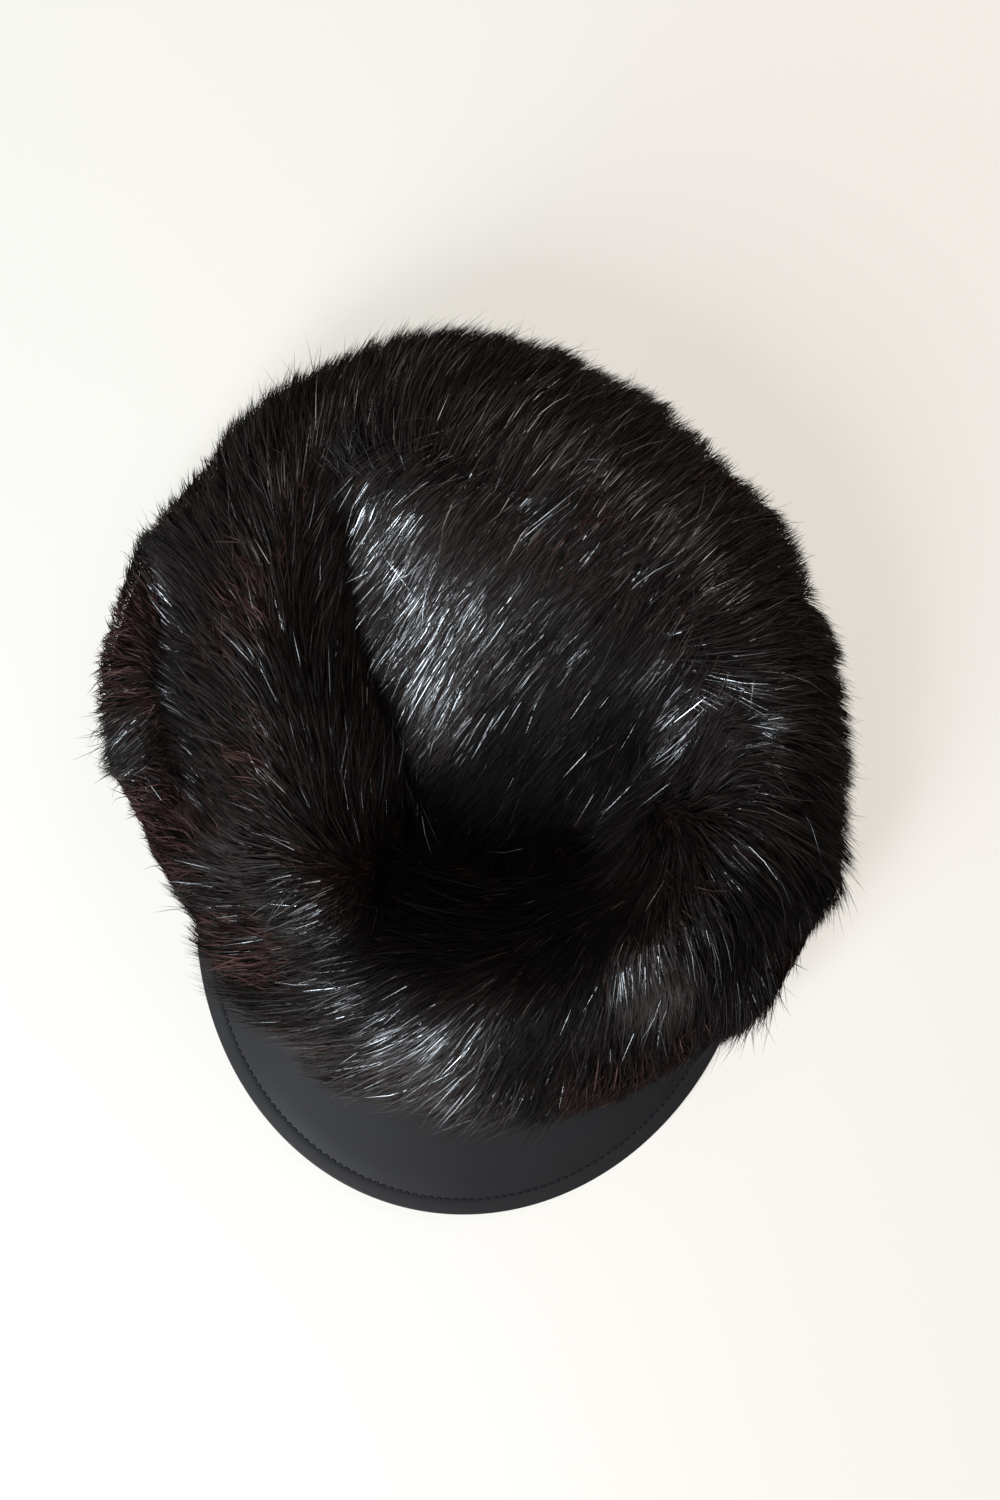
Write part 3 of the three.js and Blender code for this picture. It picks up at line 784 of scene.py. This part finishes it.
    def grow(self, length, lift, stiff, clear, reach):
        """Where a hair goes that grows at each place: its offset at each step, for both lies.

        It leaves the pelt at the angle lift, keeps its way by the share stiff, and its tip stays
        between clear and reach from the pelt.
        """
        both = []
        for heading in self.ways:
            place = self.places.copy()
            rise = np.broadcast_to(lift, len(place))[:, None]
            way = unit(heading * np.cos(rise) + self.normals * np.sin(rise))
            rows = [place]
            for k in range(1, GROWTH_STEPS + 1):
                ahead = place + way * (length / GROWTH_STEPS)
                near, height = self.height_over(ahead)
                wanted = np.clip(height, clear * k / GROWTH_STEPS, reach * k / GROWTH_STEPS)
                ahead = ahead + self.normals[near] * (wanted - height)[:, None]
                ahead = self.above_peak(ahead, GROWTH_GAP)
                went = unit(ahead - place)
                way = unit(went * stiff + heading[near] * (1 - stiff))
                rows.append(ahead)
                place = ahead
            both.append(self.even_out(np.stack(rows) - self.places))
        return both

    def even_out(self, rows, rounds=3):
        """Draws the hair of each place towards that of its neighbours on the net."""
        count = len(self.places)
        a, b, c = self.triangles.T
        ends = np.concatenate([a, b, c, b, c, a])
        others = np.concatenate([b, c, a, a, b, c])
        number = np.bincount(ends, minlength=count)[:, None]
        for _ in range(rounds):
            for k in range(1, len(rows)):
                total = np.stack([
                    np.bincount(ends, weights=rows[k][others, axis], minlength=count)
                    for axis in range(3)], 1)
                rows[k] = 0.4 * rows[k] + 0.6 * total / number
        return rows


def zone_share(plan, zones, inner=0.5, outer=1.3):
    """The most that any zone gives each place; it fades between two shares of its radius."""
    most = np.zeros(len(plan))
    for x, y, radius, share in zones:
        far = np.hypot(plan[:, 0] - x, plan[:, 1] - y)
        most = np.maximum(most, share * (1 - smooth(radius * inner, radius * outer, far)))
    return most


def thin_share(plan):
    """Share of the guard hair that is missing at each place, with loose streaks everywhere."""
    lost = zone_share(plan, THIN)
    x, y = plan.T
    streak = np.sin(x * 0.31 + 2.1 * np.sin(y * 0.17))
    streak *= np.sin(y * 0.27 + 1.9 * np.sin(x * 0.21))
    return np.clip(lost + 0.55 * np.maximum(streak, 0) * (0.25 + lost), 0, 0.85)


def sleek_share(plan):
    """Share of glossy hairs at each place, few of them on the ruffled crest."""
    # Painted shade also leaves fewer glossy hairs in its zones.
    elsewhere = SLEEK_ELSEWHERE * (1 - 0.8 * zone_share(plan, PAINTED_SHADE))
    share = np.maximum(elsewhere, zone_share(plan, SLEEK, inner=0.4, outer=1.2))
    ruffled, _ = along_course(plan, CREST[:5])
    return share * (0.1 + 0.9 * smooth(*RUFFLED_NEAR, ruffled))


def draw_into_tufts(points, back, random, steps, hairs, strength):
    """Draws each strand towards the leader of its tuft, the more the nearer to its tip."""
    root, count = points[:, 0], len(points)
    leaders = random.choice(count, size=max(count // hairs, 1), replace=False)
    leader = leaders[nearest_in(near_tree(root[leaders]), root)]
    pull = strength * random.beta(*TUFT_PULL, count)
    near = np.linalg.norm(root - root[leader], axis=1) < TUFT_REACH * MM
    together = near & (back == back[leader])
    for k, step in enumerate(steps[1:], 1):
        along = step / GROWTH_STEPS
        amount = (pull * along ** TUFT_POWER * together)[:, None]
        points[:, k] += (points[leader, k] - points[:, k]) * amount


def strand_points(coat, random, count, grown, steps, spread, sink, density, clumping, longer):
    """Points of each strand, rows of (strand, point, xyz), with its normal and its tone."""
    a, b, c = (coat.places[coat.triangles[:, k]] for k in range(3))
    area = np.linalg.norm(np.cross(b - a, c - a), axis=1) / 2
    weight = area * (density * coat.free)[coat.triangles].mean(1)
    chosen = random.choice(len(coat.triangles), size=count, p=weight / weight.sum())
    corner = coat.triangles[chosen]
    u, v = random.random(count), random.random(count)
    over = u + v > 1
    u[over], v[over] = 1 - u[over], 1 - v[over]
    share = np.stack([1 - u - v, u, v], 1)

    def at_root(values):
        """Values of the coat's places, taken at each strand's root."""
        return (values[corner] * (share if values.ndim == 1 else share[:, :, None])).sum(1)

    normal = unit(at_root(coat.normals))
    root = at_root(coat.places) - normal * sink
    scale = random.normal(1, LENGTH_SPREAD, count).clip(*LENGTH_LIMITS) * at_root(longer)
    sideways = random.normal(0, spread, count)
    rise = np.abs(random.normal(LIFT, LIFT_SPREAD, count))
    back = random.random(count) < at_root(coat.back_share)

    def offsets(step):
        on_slope, on_back = (at_root(rows[step]) for rows in grown)
        return np.where(back[:, None], on_back, on_slope)

    side = unit(np.cross(normal, unit(offsets(steps[1]))))
    points = [root]
    for step in steps[1:]:
        offset = offsets(step)
        far = np.linalg.norm(offset, axis=1)
        along = step / GROWTH_STEPS
        offset = offset * scale[:, None]
        offset += side * (far * sideways * along)[:, None]
        offset += normal * (far * rise * along)[:, None]
        points.append(root + offset)
    points = np.stack(points, 1)
    if clumping > 0:
        edge = at_root(coat.ragged())
        draw_into_tufts(points, back, random, steps, SMALL_TUFT, clumping)
        draw_into_tufts(points, back, random, steps, LARGE_TUFT, clumping * (0.4 + 0.8 * edge))
    for k in range(1, len(steps)):
        points[:, k] = coat.above_peak(points[:, k], HAIR_GAP)
    points[:, 0, 2] = np.maximum(points[:, 0, 2], HAIR_GAP)
    plan = to_plan(points.mean(1))
    sleek = random.random(count) < sleek_share(plan)
    # Painted shade: in its zones the dull hairs get a lower tone, which darkens them and takes away
    # their faint coat.
    dull = random.random(count) ** DULL_POWER * (1 - zone_share(plan, PAINTED_SHADE))
    return points, normal, 0.5 * dull + 0.5 * sleek


def strand_mesh(name, points, normal, tone, roll, widths):
    """One closed spindle of flat sides for each strand, one side up but for its roll, as a mesh."""
    count, stops = points.shape[:2]
    rings, sides = stops - 2, STRAND_SIDES
    per = 2 + sides * rings
    places = np.zeros((count, per, 3))
    places[:, 0] = points[:, 0]
    places[:, -1] = points[:, -1]
    turns = np.radians([30, 150, 270])[None] + roll[:, None]
    for k, width in enumerate(widths, 1):
        along = unit(points[:, k + 1] - points[:, k - 1])
        side = unit(np.cross(normal, along))
        up = np.cross(along, side)
        for j in range(sides):
            out = side * np.cos(turns[:, j:j + 1]) + up * np.sin(turns[:, j:j + 1])
            places[:, 1 + sides * (k - 1) + j] = points[:, k] + out * (width / 2)
    places[:, :, 2] = np.maximum(places[:, :, 2], FLOOR_GAP)
    faces = []
    for j in range(sides):
        n = (j + 1) % sides
        faces.append((0, 1 + n, 1 + j))
        for low in range(1, 1 + sides * (rings - 1), sides):
            high = low + sides
            faces.append((low + j, low + n, high + n))
            faces.append((low + j, high + n, high + j))
        top = 1 + sides * (rings - 1)
        faces.append((top + j, top + n, per - 1))
    faces = np.array(faces)
    corners = (faces[None] + (np.arange(count) * per)[:, None, None]).reshape(-1)
    total = count * len(faces)
    mesh = bpy.data.meshes.new(name)
    mesh.vertices.add(count * per)
    mesh.vertices.foreach_set("co", places.astype(np.float32).ravel())
    mesh.loops.add(len(corners))
    mesh.loops.foreach_set("vertex_index", corners.astype(np.int32))
    mesh.polygons.add(total)
    mesh.polygons.foreach_set("loop_start", np.arange(0, total * 3, 3, dtype=np.int32))
    mesh.polygons.foreach_set("use_smooth", np.zeros(total, bool))
    mesh.update(calc_edges=True)
    along = np.repeat(np.linspace(0, 1, stops)[1:-1], sides)
    stations = np.concatenate([[0.02], along, [0.98]])
    uv = np.zeros((count, len(faces) * 3, 2), np.float32)
    uv[:, :, 0] = (0.02 + 0.96 * tone)[:, None]
    uv[:, :, 1] = stations[faces.ravel()][None]
    mesh.uv_layers.new(name=STRAND_MAP).uv.foreach_set("vector", uv.ravel())
    return link(mesh, name)


def share_out(points, parts):
    """Strands split by their bearing round the crown into equal lots."""
    middle = points[:, 0, :2].mean(0)
    bearing = np.arctan2(points[:, 0, 1] - middle[1], points[:, 0, 0] - middle[0])
    return np.array_split(np.argsort(bearing, kind="stable"), parts)


def add_strands(name, parts, strands, roll, widths, material):
    """Joined meshes of strands, one for each lot round the crown."""
    points, normal, tone = strands
    for number, lot in enumerate(share_out(points, parts), 1):
        piece = strand_mesh(
            f"{name}_{number}", points[lot], normal[lot], tone[lot], roll[lot], widths)
        piece.data.materials.append(material)
        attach(piece, "root")


MADE = {}


def made_coat():
    """The coat that the pelt left for its hair."""
    if "coat" not in MADE:
        raise RuntimeError("the pelt is made before its hair")
    return MADE["coat"]


# ---------------------------------------------------------------- the peak

def peak_edge(degrees):
    """Outer edge of the peak from above, in millimetres, for an angle from the front."""
    taper = float(smooth(PEAK_TAPER_FROM, PEAK_TAPER_TO, abs(degrees))) * PEAK_TAPER_INSET
    angle = math.radians(degrees - 90)
    x = (PEAK_HALF_WIDTH - taper) * math.cos(angle)
    y = PEAK_CENTRE_Y + (PEAK_HALF_LENGTH - taper) * math.sin(angle)
    return x, y


def peak_inner(x, y):
    """Point of the head opening's edge in line with a point of the peak's edge."""
    dx, dy = x - HEAD[0], y - HEAD[1]
    reach = 1 / math.hypot(dx / HEAD[2], dy / HEAD[3])
    return HEAD[0] + dx * reach, HEAD[1] + dy * reach


def inwards(edge, far):
    """Point that is so far in from a point of the peak's edge."""
    (x, y), (ix, iy) = edge, peak_inner(*edge)
    span = math.dist(edge, (ix, iy))
    return x + (ix - x) / span * far, y + (iy - y) / span * far


def peak_rise(x, y):
    """How much the slope and the arch lift the peak, in millimetres."""
    return PEAK_SLOPE * (y - PEAK_FRONT) + PEAK_ARCH * (1 - (x / PEAK_HALF_WIDTH) ** 2)


def peak_top(x, y):
    """Height of the peak's upper face in millimetres."""
    inner = peak_rise(0, HEAD[1] - HEAD[3]) + PEAK_THICK
    return PEAK_HIGH.z / MM + peak_rise(x, y) + PEAK_THICK - inner


# ---------------------------------------------------------------- operators


class FURCAP_OT_pelt(bpy.types.Operator):
    """Model the pelt under the fur from the crown's wall"""

    bl_idname = "furcap.pelt"
    bl_label = "Pelt"

    def execute(self, context):
        fur = context.scene.furcap_fur
        MADE["coat"] = Coat()
        pelt, inner = make_pelt(made_coat())
        bed = [c * 0.45 for c in fur.underfur_colour]
        pelt.data.materials.append(
            skin_material("underfur_bed", bed, scale=1100.0, roughness=0.9, depth=0.0008))
        pelt.data.materials.append(
            skin_material("skin_side", fur.skin_colour, scale=420.0, roughness=0.78, depth=0.0002))
        for polygon, is_inner in zip(pelt.data.polygons, inner):
            polygon.material_index = int(is_inner)
        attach(pelt, "root")
        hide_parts("crown")
        return {"FINISHED"}


class FURCAP_OT_underfur(bpy.types.Operator):
    """Grow the dense short brown underfur"""

    bl_idname = "furcap.underfur"
    bl_label = "Underfur"

    def execute(self, context):
        fur = context.scene.furcap_fur
        coat = made_coat()
        random = np.random.default_rng(11)
        strands = strand_points(
            coat, random, fur.underfur_count,
            grown=coat.grow(
                fur.underfur_length, lift=0.75, stiff=0.45, clear=1.0 * MM, reach=5.5 * MM),
            steps=(0, 3, 6), spread=0.5, sink=1.0 * MM,
            density=coat.density(under=0.45, at_rim=0.8, at_fringe=0.8) * (1 + 0.6 * coat.thin),
            clumping=0.6,
            longer=coat.fringe() * (1 + 0.3 * coat.thin) + zone_share(coat.plan, LONGER))
        roots = [c * 0.35 for c in fur.underfur_colour]
        material = strand_material(
            "underfur", roots, fur.underfur_colour, dull=0.7, sleek=0.7, root_length=0.8, pale=0.0)
        roll = random.normal(0, 0.6, fur.underfur_count)
        add_strands("underfur", 2, strands, roll, (fur.underfur_width,), material)
        return {"FINISHED"}


class FURCAP_OT_guard_hair(bpy.types.Operator):
    """Grow the glossy dark guard hair along the nap"""

    bl_idname = "furcap.guard_hair"
    bl_label = "Guard Hair"

    def execute(self, context):
        fur = context.scene.furcap_fur
        coat = made_coat()
        random = np.random.default_rng(23)
        ragged = coat.ragged()
        density = coat.density(under=0.35, at_rim=0.3, at_fringe=0.6)
        strands = strand_points(
            coat, random, fur.guard_count,
            grown=coat.grow(
                fur.guard_length, lift=0.22 + 0.33 * ragged, stiff=0.82 + 0.08 * ragged[:, None],
                clear=1.2 * MM, reach=(6 + 7 * ragged) * MM),
            steps=(0, 3, 6), spread=0.09, sink=0.8 * MM,
            density=density * (1 - coat.thin) * (1 + 0.9 * coat.near_parting()),
            clumping=fur.clumping,
            longer=coat.fringe() * (1 - 0.4 * coat.thin) + 0.6 * zone_share(coat.plan, LONGER))
        roots = [c * 0.28 for c in fur.underfur_colour]
        material = strand_material(
            "guard_hair", roots, fur.guard_colour, dull=0.6, sleek=0.21, root_length=0.22, pale=0.2)
        roll = random.normal(0, 0.4, fur.guard_count)
        add_strands("guard_hair", 3, strands, roll, (fur.guard_width,), material)
        return {"FINISHED"}


class FURCAP_OT_wisps(bpy.types.Operator):
    """Grow the long single hairs that stand out of the fur"""

    bl_idname = "furcap.wisps"
    bl_label = "Wisps"

    def execute(self, context):
        fur = context.scene.furcap_fur
        coat = made_coat()
        random = np.random.default_rng(37)
        on_top = smooth(*WISP_FACING, coat.normals[:, 2])
        strands = strand_points(
            coat, random, fur.wisp_count,
            grown=coat.grow(
                fur.wisp_length, lift=0.42, stiff=0.85, clear=2.0 * MM, reach=12.0 * MM),
            steps=(0, 2, 4, 6), spread=0.2, sink=0.5 * MM,
            density=on_top * (1 - coat.thin) ** 2 * (1 + 2 * coat.ragged()),
            clumping=0.0, longer=coat.fringe() * (1 - 0.4 * coat.thin))
        material = strand_material(
            "wisp", fur.guard_colour, fur.guard_colour, dull=0.55, sleek=0.28, root_length=0.3,
            pale=0.3)
        width = fur.guard_width * 0.8
        roll = random.normal(0, 0.9, fur.wisp_count)
        add_strands("wisps", 1, strands, roll, (width, width * 0.6), material)
        return {"FINISHED"}


class FURCAP_OT_peak(bpy.types.Operator):
    """Model the leather peak: an arched plate with a rounded, stitched edge"""

    bl_idname = "furcap.peak"
    bl_label = "Leather Peak"

    def execute(self, context):
        look = context.scene.furcap_peak
        inset = look.stitch_inset / MM
        # Rows of the plate from its edge: how far in, and how deep the stitches press them
        edge_rows = (
            (0.0, 0.0), (1.0, 0.0), (2.4, 0.0), (inset - 0.9, 0.0), (inset - 0.35, 0.1),
            (inset, 0.2), (inset + 0.35, 0.1), (inset + 0.9, 0.0))
        rows = len(edge_rows) + PEAK_BANDS
        bpy.ops.object.select_all(action="DESELECT")
        bpy.ops.mesh.primitive_grid_add(
            x_subdivisions=PEAK_COLUMNS, y_subdivisions=rows - 1, size=2)
        peak = context.object
        peak.name = peak.data.name = "peak_leather"
        rim_scuff_sheen = np.zeros(len(peak.data.vertices), np.float32)
        for vertex in peak.data.vertices:
            column = (vertex.co.x + 1) / 2
            row = round((vertex.co.y + 1) / 2 * (rows - 1))
            edge = peak_edge(PEAK_TAPER_TO * (2 * column - 1))
            span = math.dist(edge, peak_inner(*edge))
            taper = min(1.0, span / PEAK_FULL_ROWS)
            if row < len(edge_rows):
                far, dip = edge_rows[row][0] * taper, edge_rows[row][1]
            else:
                done, dip = edge_rows[-1][0] * taper, 0.0
                far = done + (span - done) * (row - len(edge_rows) + 1) / PEAK_BANDS
            x, y = inwards(edge, far)
            vertex.co = to_row(x, y, peak_top(x, y) - dip)
            # Share of the paler rim, fading out just past the stitches: partly wear, partly a
            # painted highlight on the rolled edge.
            rim_scuff_sheen[vertex.index] = 1 - smooth(1.0, inset + 1, far)
        scuff_and_sheen = peak.data.attributes.new("scuff_and_sheen", "FLOAT", "POINT")
        scuff_and_sheen.data.foreach_set("value", rim_scuff_sheen)
        only(peak)
        bpy.ops.object.mode_set(mode="EDIT")
        bpy.ops.mesh.select_all(action="SELECT")
        bpy.ops.mesh.normals_make_consistent(inside=False)
        bpy.ops.object.mode_set(mode="OBJECT")
        if peak.data.polygons[len(peak.data.polygons) // 2].normal.z < 0:
            peak.data.flip_normals()
        apply_modifier(
            peak, "SOLIDIFY", thickness=PEAK_THICK * MM, offset=-1.0, use_even_offset=False)
        apply_modifier(
            peak, "BEVEL", width=look.edge_round, segments=3, limit_method="ANGLE",
            angle_limit=math.radians(50))
        only(peak)
        bpy.ops.object.shade_smooth_by_angle(angle=math.radians(60))
        peak.data.materials.append(leather_material("peak_leather", look.leather_colour))
        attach(peak, "root")
        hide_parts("peak")
        return {"FINISHED"}


class FURCAP_OT_stitches(bpy.types.Operator):
    """Sew the row of stitches near the peak's edge"""

    bl_idname = "furcap.stitches"
    bl_label = "Stitches"

    def execute(self, context):
        look = context.scene.furcap_peak
        width = look.stitch_width
        length = look.stitch_pitch * 0.78
        bpy.ops.object.select_all(action="DESELECT")
        bpy.ops.mesh.primitive_cylinder_add(
            vertices=6, radius=width / 2, depth=length * 0.6, rotation=(0, math.pi / 2, 0),
            end_fill_type="NGON")
        stitch = context.object
        bpy.ops.object.transform_apply(location=True, rotation=True, scale=True)
        bpy.ops.object.mode_set(mode="EDIT")
        bpy.ops.mesh.select_mode(type="FACE")
        for side in (-1, 1):
            bpy.ops.mesh.select_all(action="DESELECT")
            bpy.ops.object.mode_set(mode="OBJECT")
            for polygon in stitch.data.polygons:
                polygon.select = polygon.normal.x * side > 0.9
            bpy.ops.object.mode_set(mode="EDIT")
            bpy.ops.mesh.extrude_region_move(
                TRANSFORM_OT_translate={"value": (side * length * 0.2, 0, -width * 0.35)})
            bpy.ops.transform.resize(value=(0.5, 0.5, 0.5))
        bpy.ops.object.mode_set(mode="OBJECT")
        copies = []
        for place, along, up in self.places(look):
            mesh = stitch.data.copy()
            side = up.cross(along).normalized()
            for vertex in mesh.vertices:
                p = vertex.co.copy()
                vertex.co = place + along * p.x + side * p.y + up * p.z
            copies.append(link(mesh, "stitch"))
        bpy.data.objects.remove(stitch)
        bpy.ops.object.select_all(action="DESELECT")
        for copy in copies:
            copy.select_set(True)
        context.view_layer.objects.active = copies[0]
        bpy.ops.object.join()
        row = context.object
        row.name = row.data.name = "peak_stitches"
        bpy.ops.object.shade_smooth_by_angle(angle=math.radians(50))
        row.data.materials.clear()
        row.data.materials.append(
            skin_material(
                "sewing_thread", look.thread_colour, scale=2600.0, roughness=0.5, depth=0.00005))
        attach(row, "root")
        return {"FINISHED"}

    def places(self, look):
        """Place, direction and upright of each stitch along the row."""
        line = []
        for i in range(STITCH_SAMPLES + 1):
            degrees = STITCH_ROW_END * (2 * i / STITCH_SAMPLES - 1)
            x, y = inwards(peak_edge(degrees), look.stitch_inset / MM)
            line.append(to_row(x, y, peak_top(x, y) - STITCH_SINK))
        rows = []
        gone = 0.0
        for a, b in zip(line, line[1:]):
            gone += (b - a).length
            if gone >= look.stitch_pitch:
                gone -= look.stitch_pitch
                along = (b - a).normalized()
                middle = (a + b) / 2
                x, y = (middle.x - PLAN_X) / MM, (middle.y - PLAN_Y) / MM
                dx = peak_top(x + 1, y) - peak_top(x, y)
                dy = peak_top(x, y + 1) - peak_top(x, y)
                up = Vector((-dx, -dy, 1)).normalized()
                rows.append((middle, along, up))
        return rows


class FURCAP_OT_stage(bpy.types.Operator):
    """Set the pale floor, the soft light and the camera overhead"""

    bl_idname = "furcap.stage"
    bl_label = "Stage"

    def execute(self, context):
        look = context.scene.furcap_stage
        scene = context.scene
        bpy.ops.object.select_all(action="DESELECT")
        bpy.ops.mesh.primitive_plane_add(size=8, location=(0, 0, -0.0002))
        floor = context.object
        floor.name = "floor"
        bpy.ops.object.transform_apply(location=True, rotation=True, scale=True)
        material, tree, shader = new_material("pale_floor", roughness=0.7, specular=0.2)
        # The floor's glow is painted light, its colour fading from the light's side to the other as
        # a painted falloff.
        across = add_node(
            tree, "VectorMath", {0: add_node(tree, "TexCoord")["Object"], 1: FLOOR_FADE},
            operation="DOT_PRODUCT")["Value"]
        painted_falloff = ramp(tree, across, low=-0.16, high=0.2, kind="SMOOTHSTEP")
        feed(tree, shader, {
            "Base Color": (*look.floor_colour, 1), "Emission Strength": look.floor_glow,
            "Emission Color": mix(tree, painted_falloff, FLOOR_NEAR_LIGHT, FLOOR_FAR_FROM_LIGHT)})
        floor.data.materials.append(material)

        self.panel(
            "key_light", look.key_energy, colour=(0.8, 0.9, 1.0), size=(0.5, 1.3), azimuth=240,
            elevation=42)
        self.panel(
            "fill_light", look.fill_energy, colour=(1.0, 0.97, 0.93), size=(1.2, 0.9), azimuth=62,
            elevation=52)

        world = bpy.data.worlds.new("soft_sky")
        world.use_nodes = True
        sky = world.node_tree.nodes["Background"]
        sky.inputs["Color"].default_value = (1.0, 0.985, 0.96, 1)
        sky.inputs["Strength"].default_value = look.sky_strength
        scene.world = world

        camera = bpy.data.cameras.new("camera")
        camera.sensor_width = 36.0
        camera.lens = camera.sensor_width * CAMERA_HEIGHT / PICTURE_HEIGHT
        camera.shift_y = CAMERA_SHIFT
        camera.clip_start, camera.clip_end = 0.05, 20
        view = link(camera, "camera")
        view.location = to_row(0, 0) + Vector((0, 0, CAMERA_HEIGHT))
        view.rotation_euler = (0, 0, math.radians(CAMERA_TURN))
        scene.camera = view
        scene.view_settings.view_transform = "Standard"
        return {"FINISHED"}

    def panel(self, name, energy, colour, size, azimuth, elevation, far=1.5):
        """One soft panel of light, turned to the cap."""
        light = bpy.data.lights.new(name, "AREA")
        light.shape = "RECTANGLE"
        light.size, light.size_y = size
        light.energy = energy
        light.color = colour
        lamp = link(light, name)
        angle, rise = math.radians(azimuth), math.radians(elevation)
        offset = Vector((
            math.cos(angle) * math.cos(rise), math.sin(angle) * math.cos(rise), math.sin(rise)))
        lamp.location = to_row(0, 0, 40) + offset * far
        lamp.rotation_euler = offset.to_track_quat("Z", "Y").to_euler()


class FURCAP_PT_sidebar(bpy.types.Panel):
    """Lists the cap's operators and sizes"""

    bl_label = "Fur Cap"
    bl_idname = "FURCAP_PT_sidebar"
    bl_space_type = "VIEW_3D"
    bl_region_type = "UI"
    bl_category = "Fur Cap"

    def draw(self, context):
        for operator in OPERATORS:
            self.layout.operator(operator.bl_idname)
        for settings in ("furcap_fur", "furcap_peak", "furcap_stage"):
            group = getattr(context.scene, settings)
            for name in group.__annotations__:
                self.layout.prop(group, name)


OPERATORS = (
    FURCAP_OT_pelt, FURCAP_OT_underfur, FURCAP_OT_guard_hair, FURCAP_OT_wisps,
    FURCAP_OT_peak, FURCAP_OT_stitches, FURCAP_OT_stage,
)
SETTINGS = {"furcap_fur": FurSettings, "furcap_peak": PeakSettings, "furcap_stage": StageSettings}


def register():
    for group in SETTINGS.values():
        bpy.utils.register_class(group)
    for name, group in SETTINGS.items():
        setattr(bpy.types.Scene, name, PointerProperty(type=group))
    for operator in OPERATORS:
        bpy.utils.register_class(operator)
    bpy.utils.register_class(FURCAP_PT_sidebar)


def unregister():
    bpy.utils.unregister_class(FURCAP_PT_sidebar)
    for operator in reversed(OPERATORS):
        bpy.utils.unregister_class(operator)
    for name, group in SETTINGS.items():
        delattr(bpy.types.Scene, name)
        bpy.utils.unregister_class(group)


def main():
    register()
    bpy.ops.furcap.pelt()
    bpy.ops.furcap.underfur()
    bpy.ops.furcap.guard_hair()
    bpy.ops.furcap.wisps()
    bpy.ops.furcap.peak()
    bpy.ops.furcap.stitches()
    bpy.ops.furcap.stage()


if __name__ == "__main__":
    main()
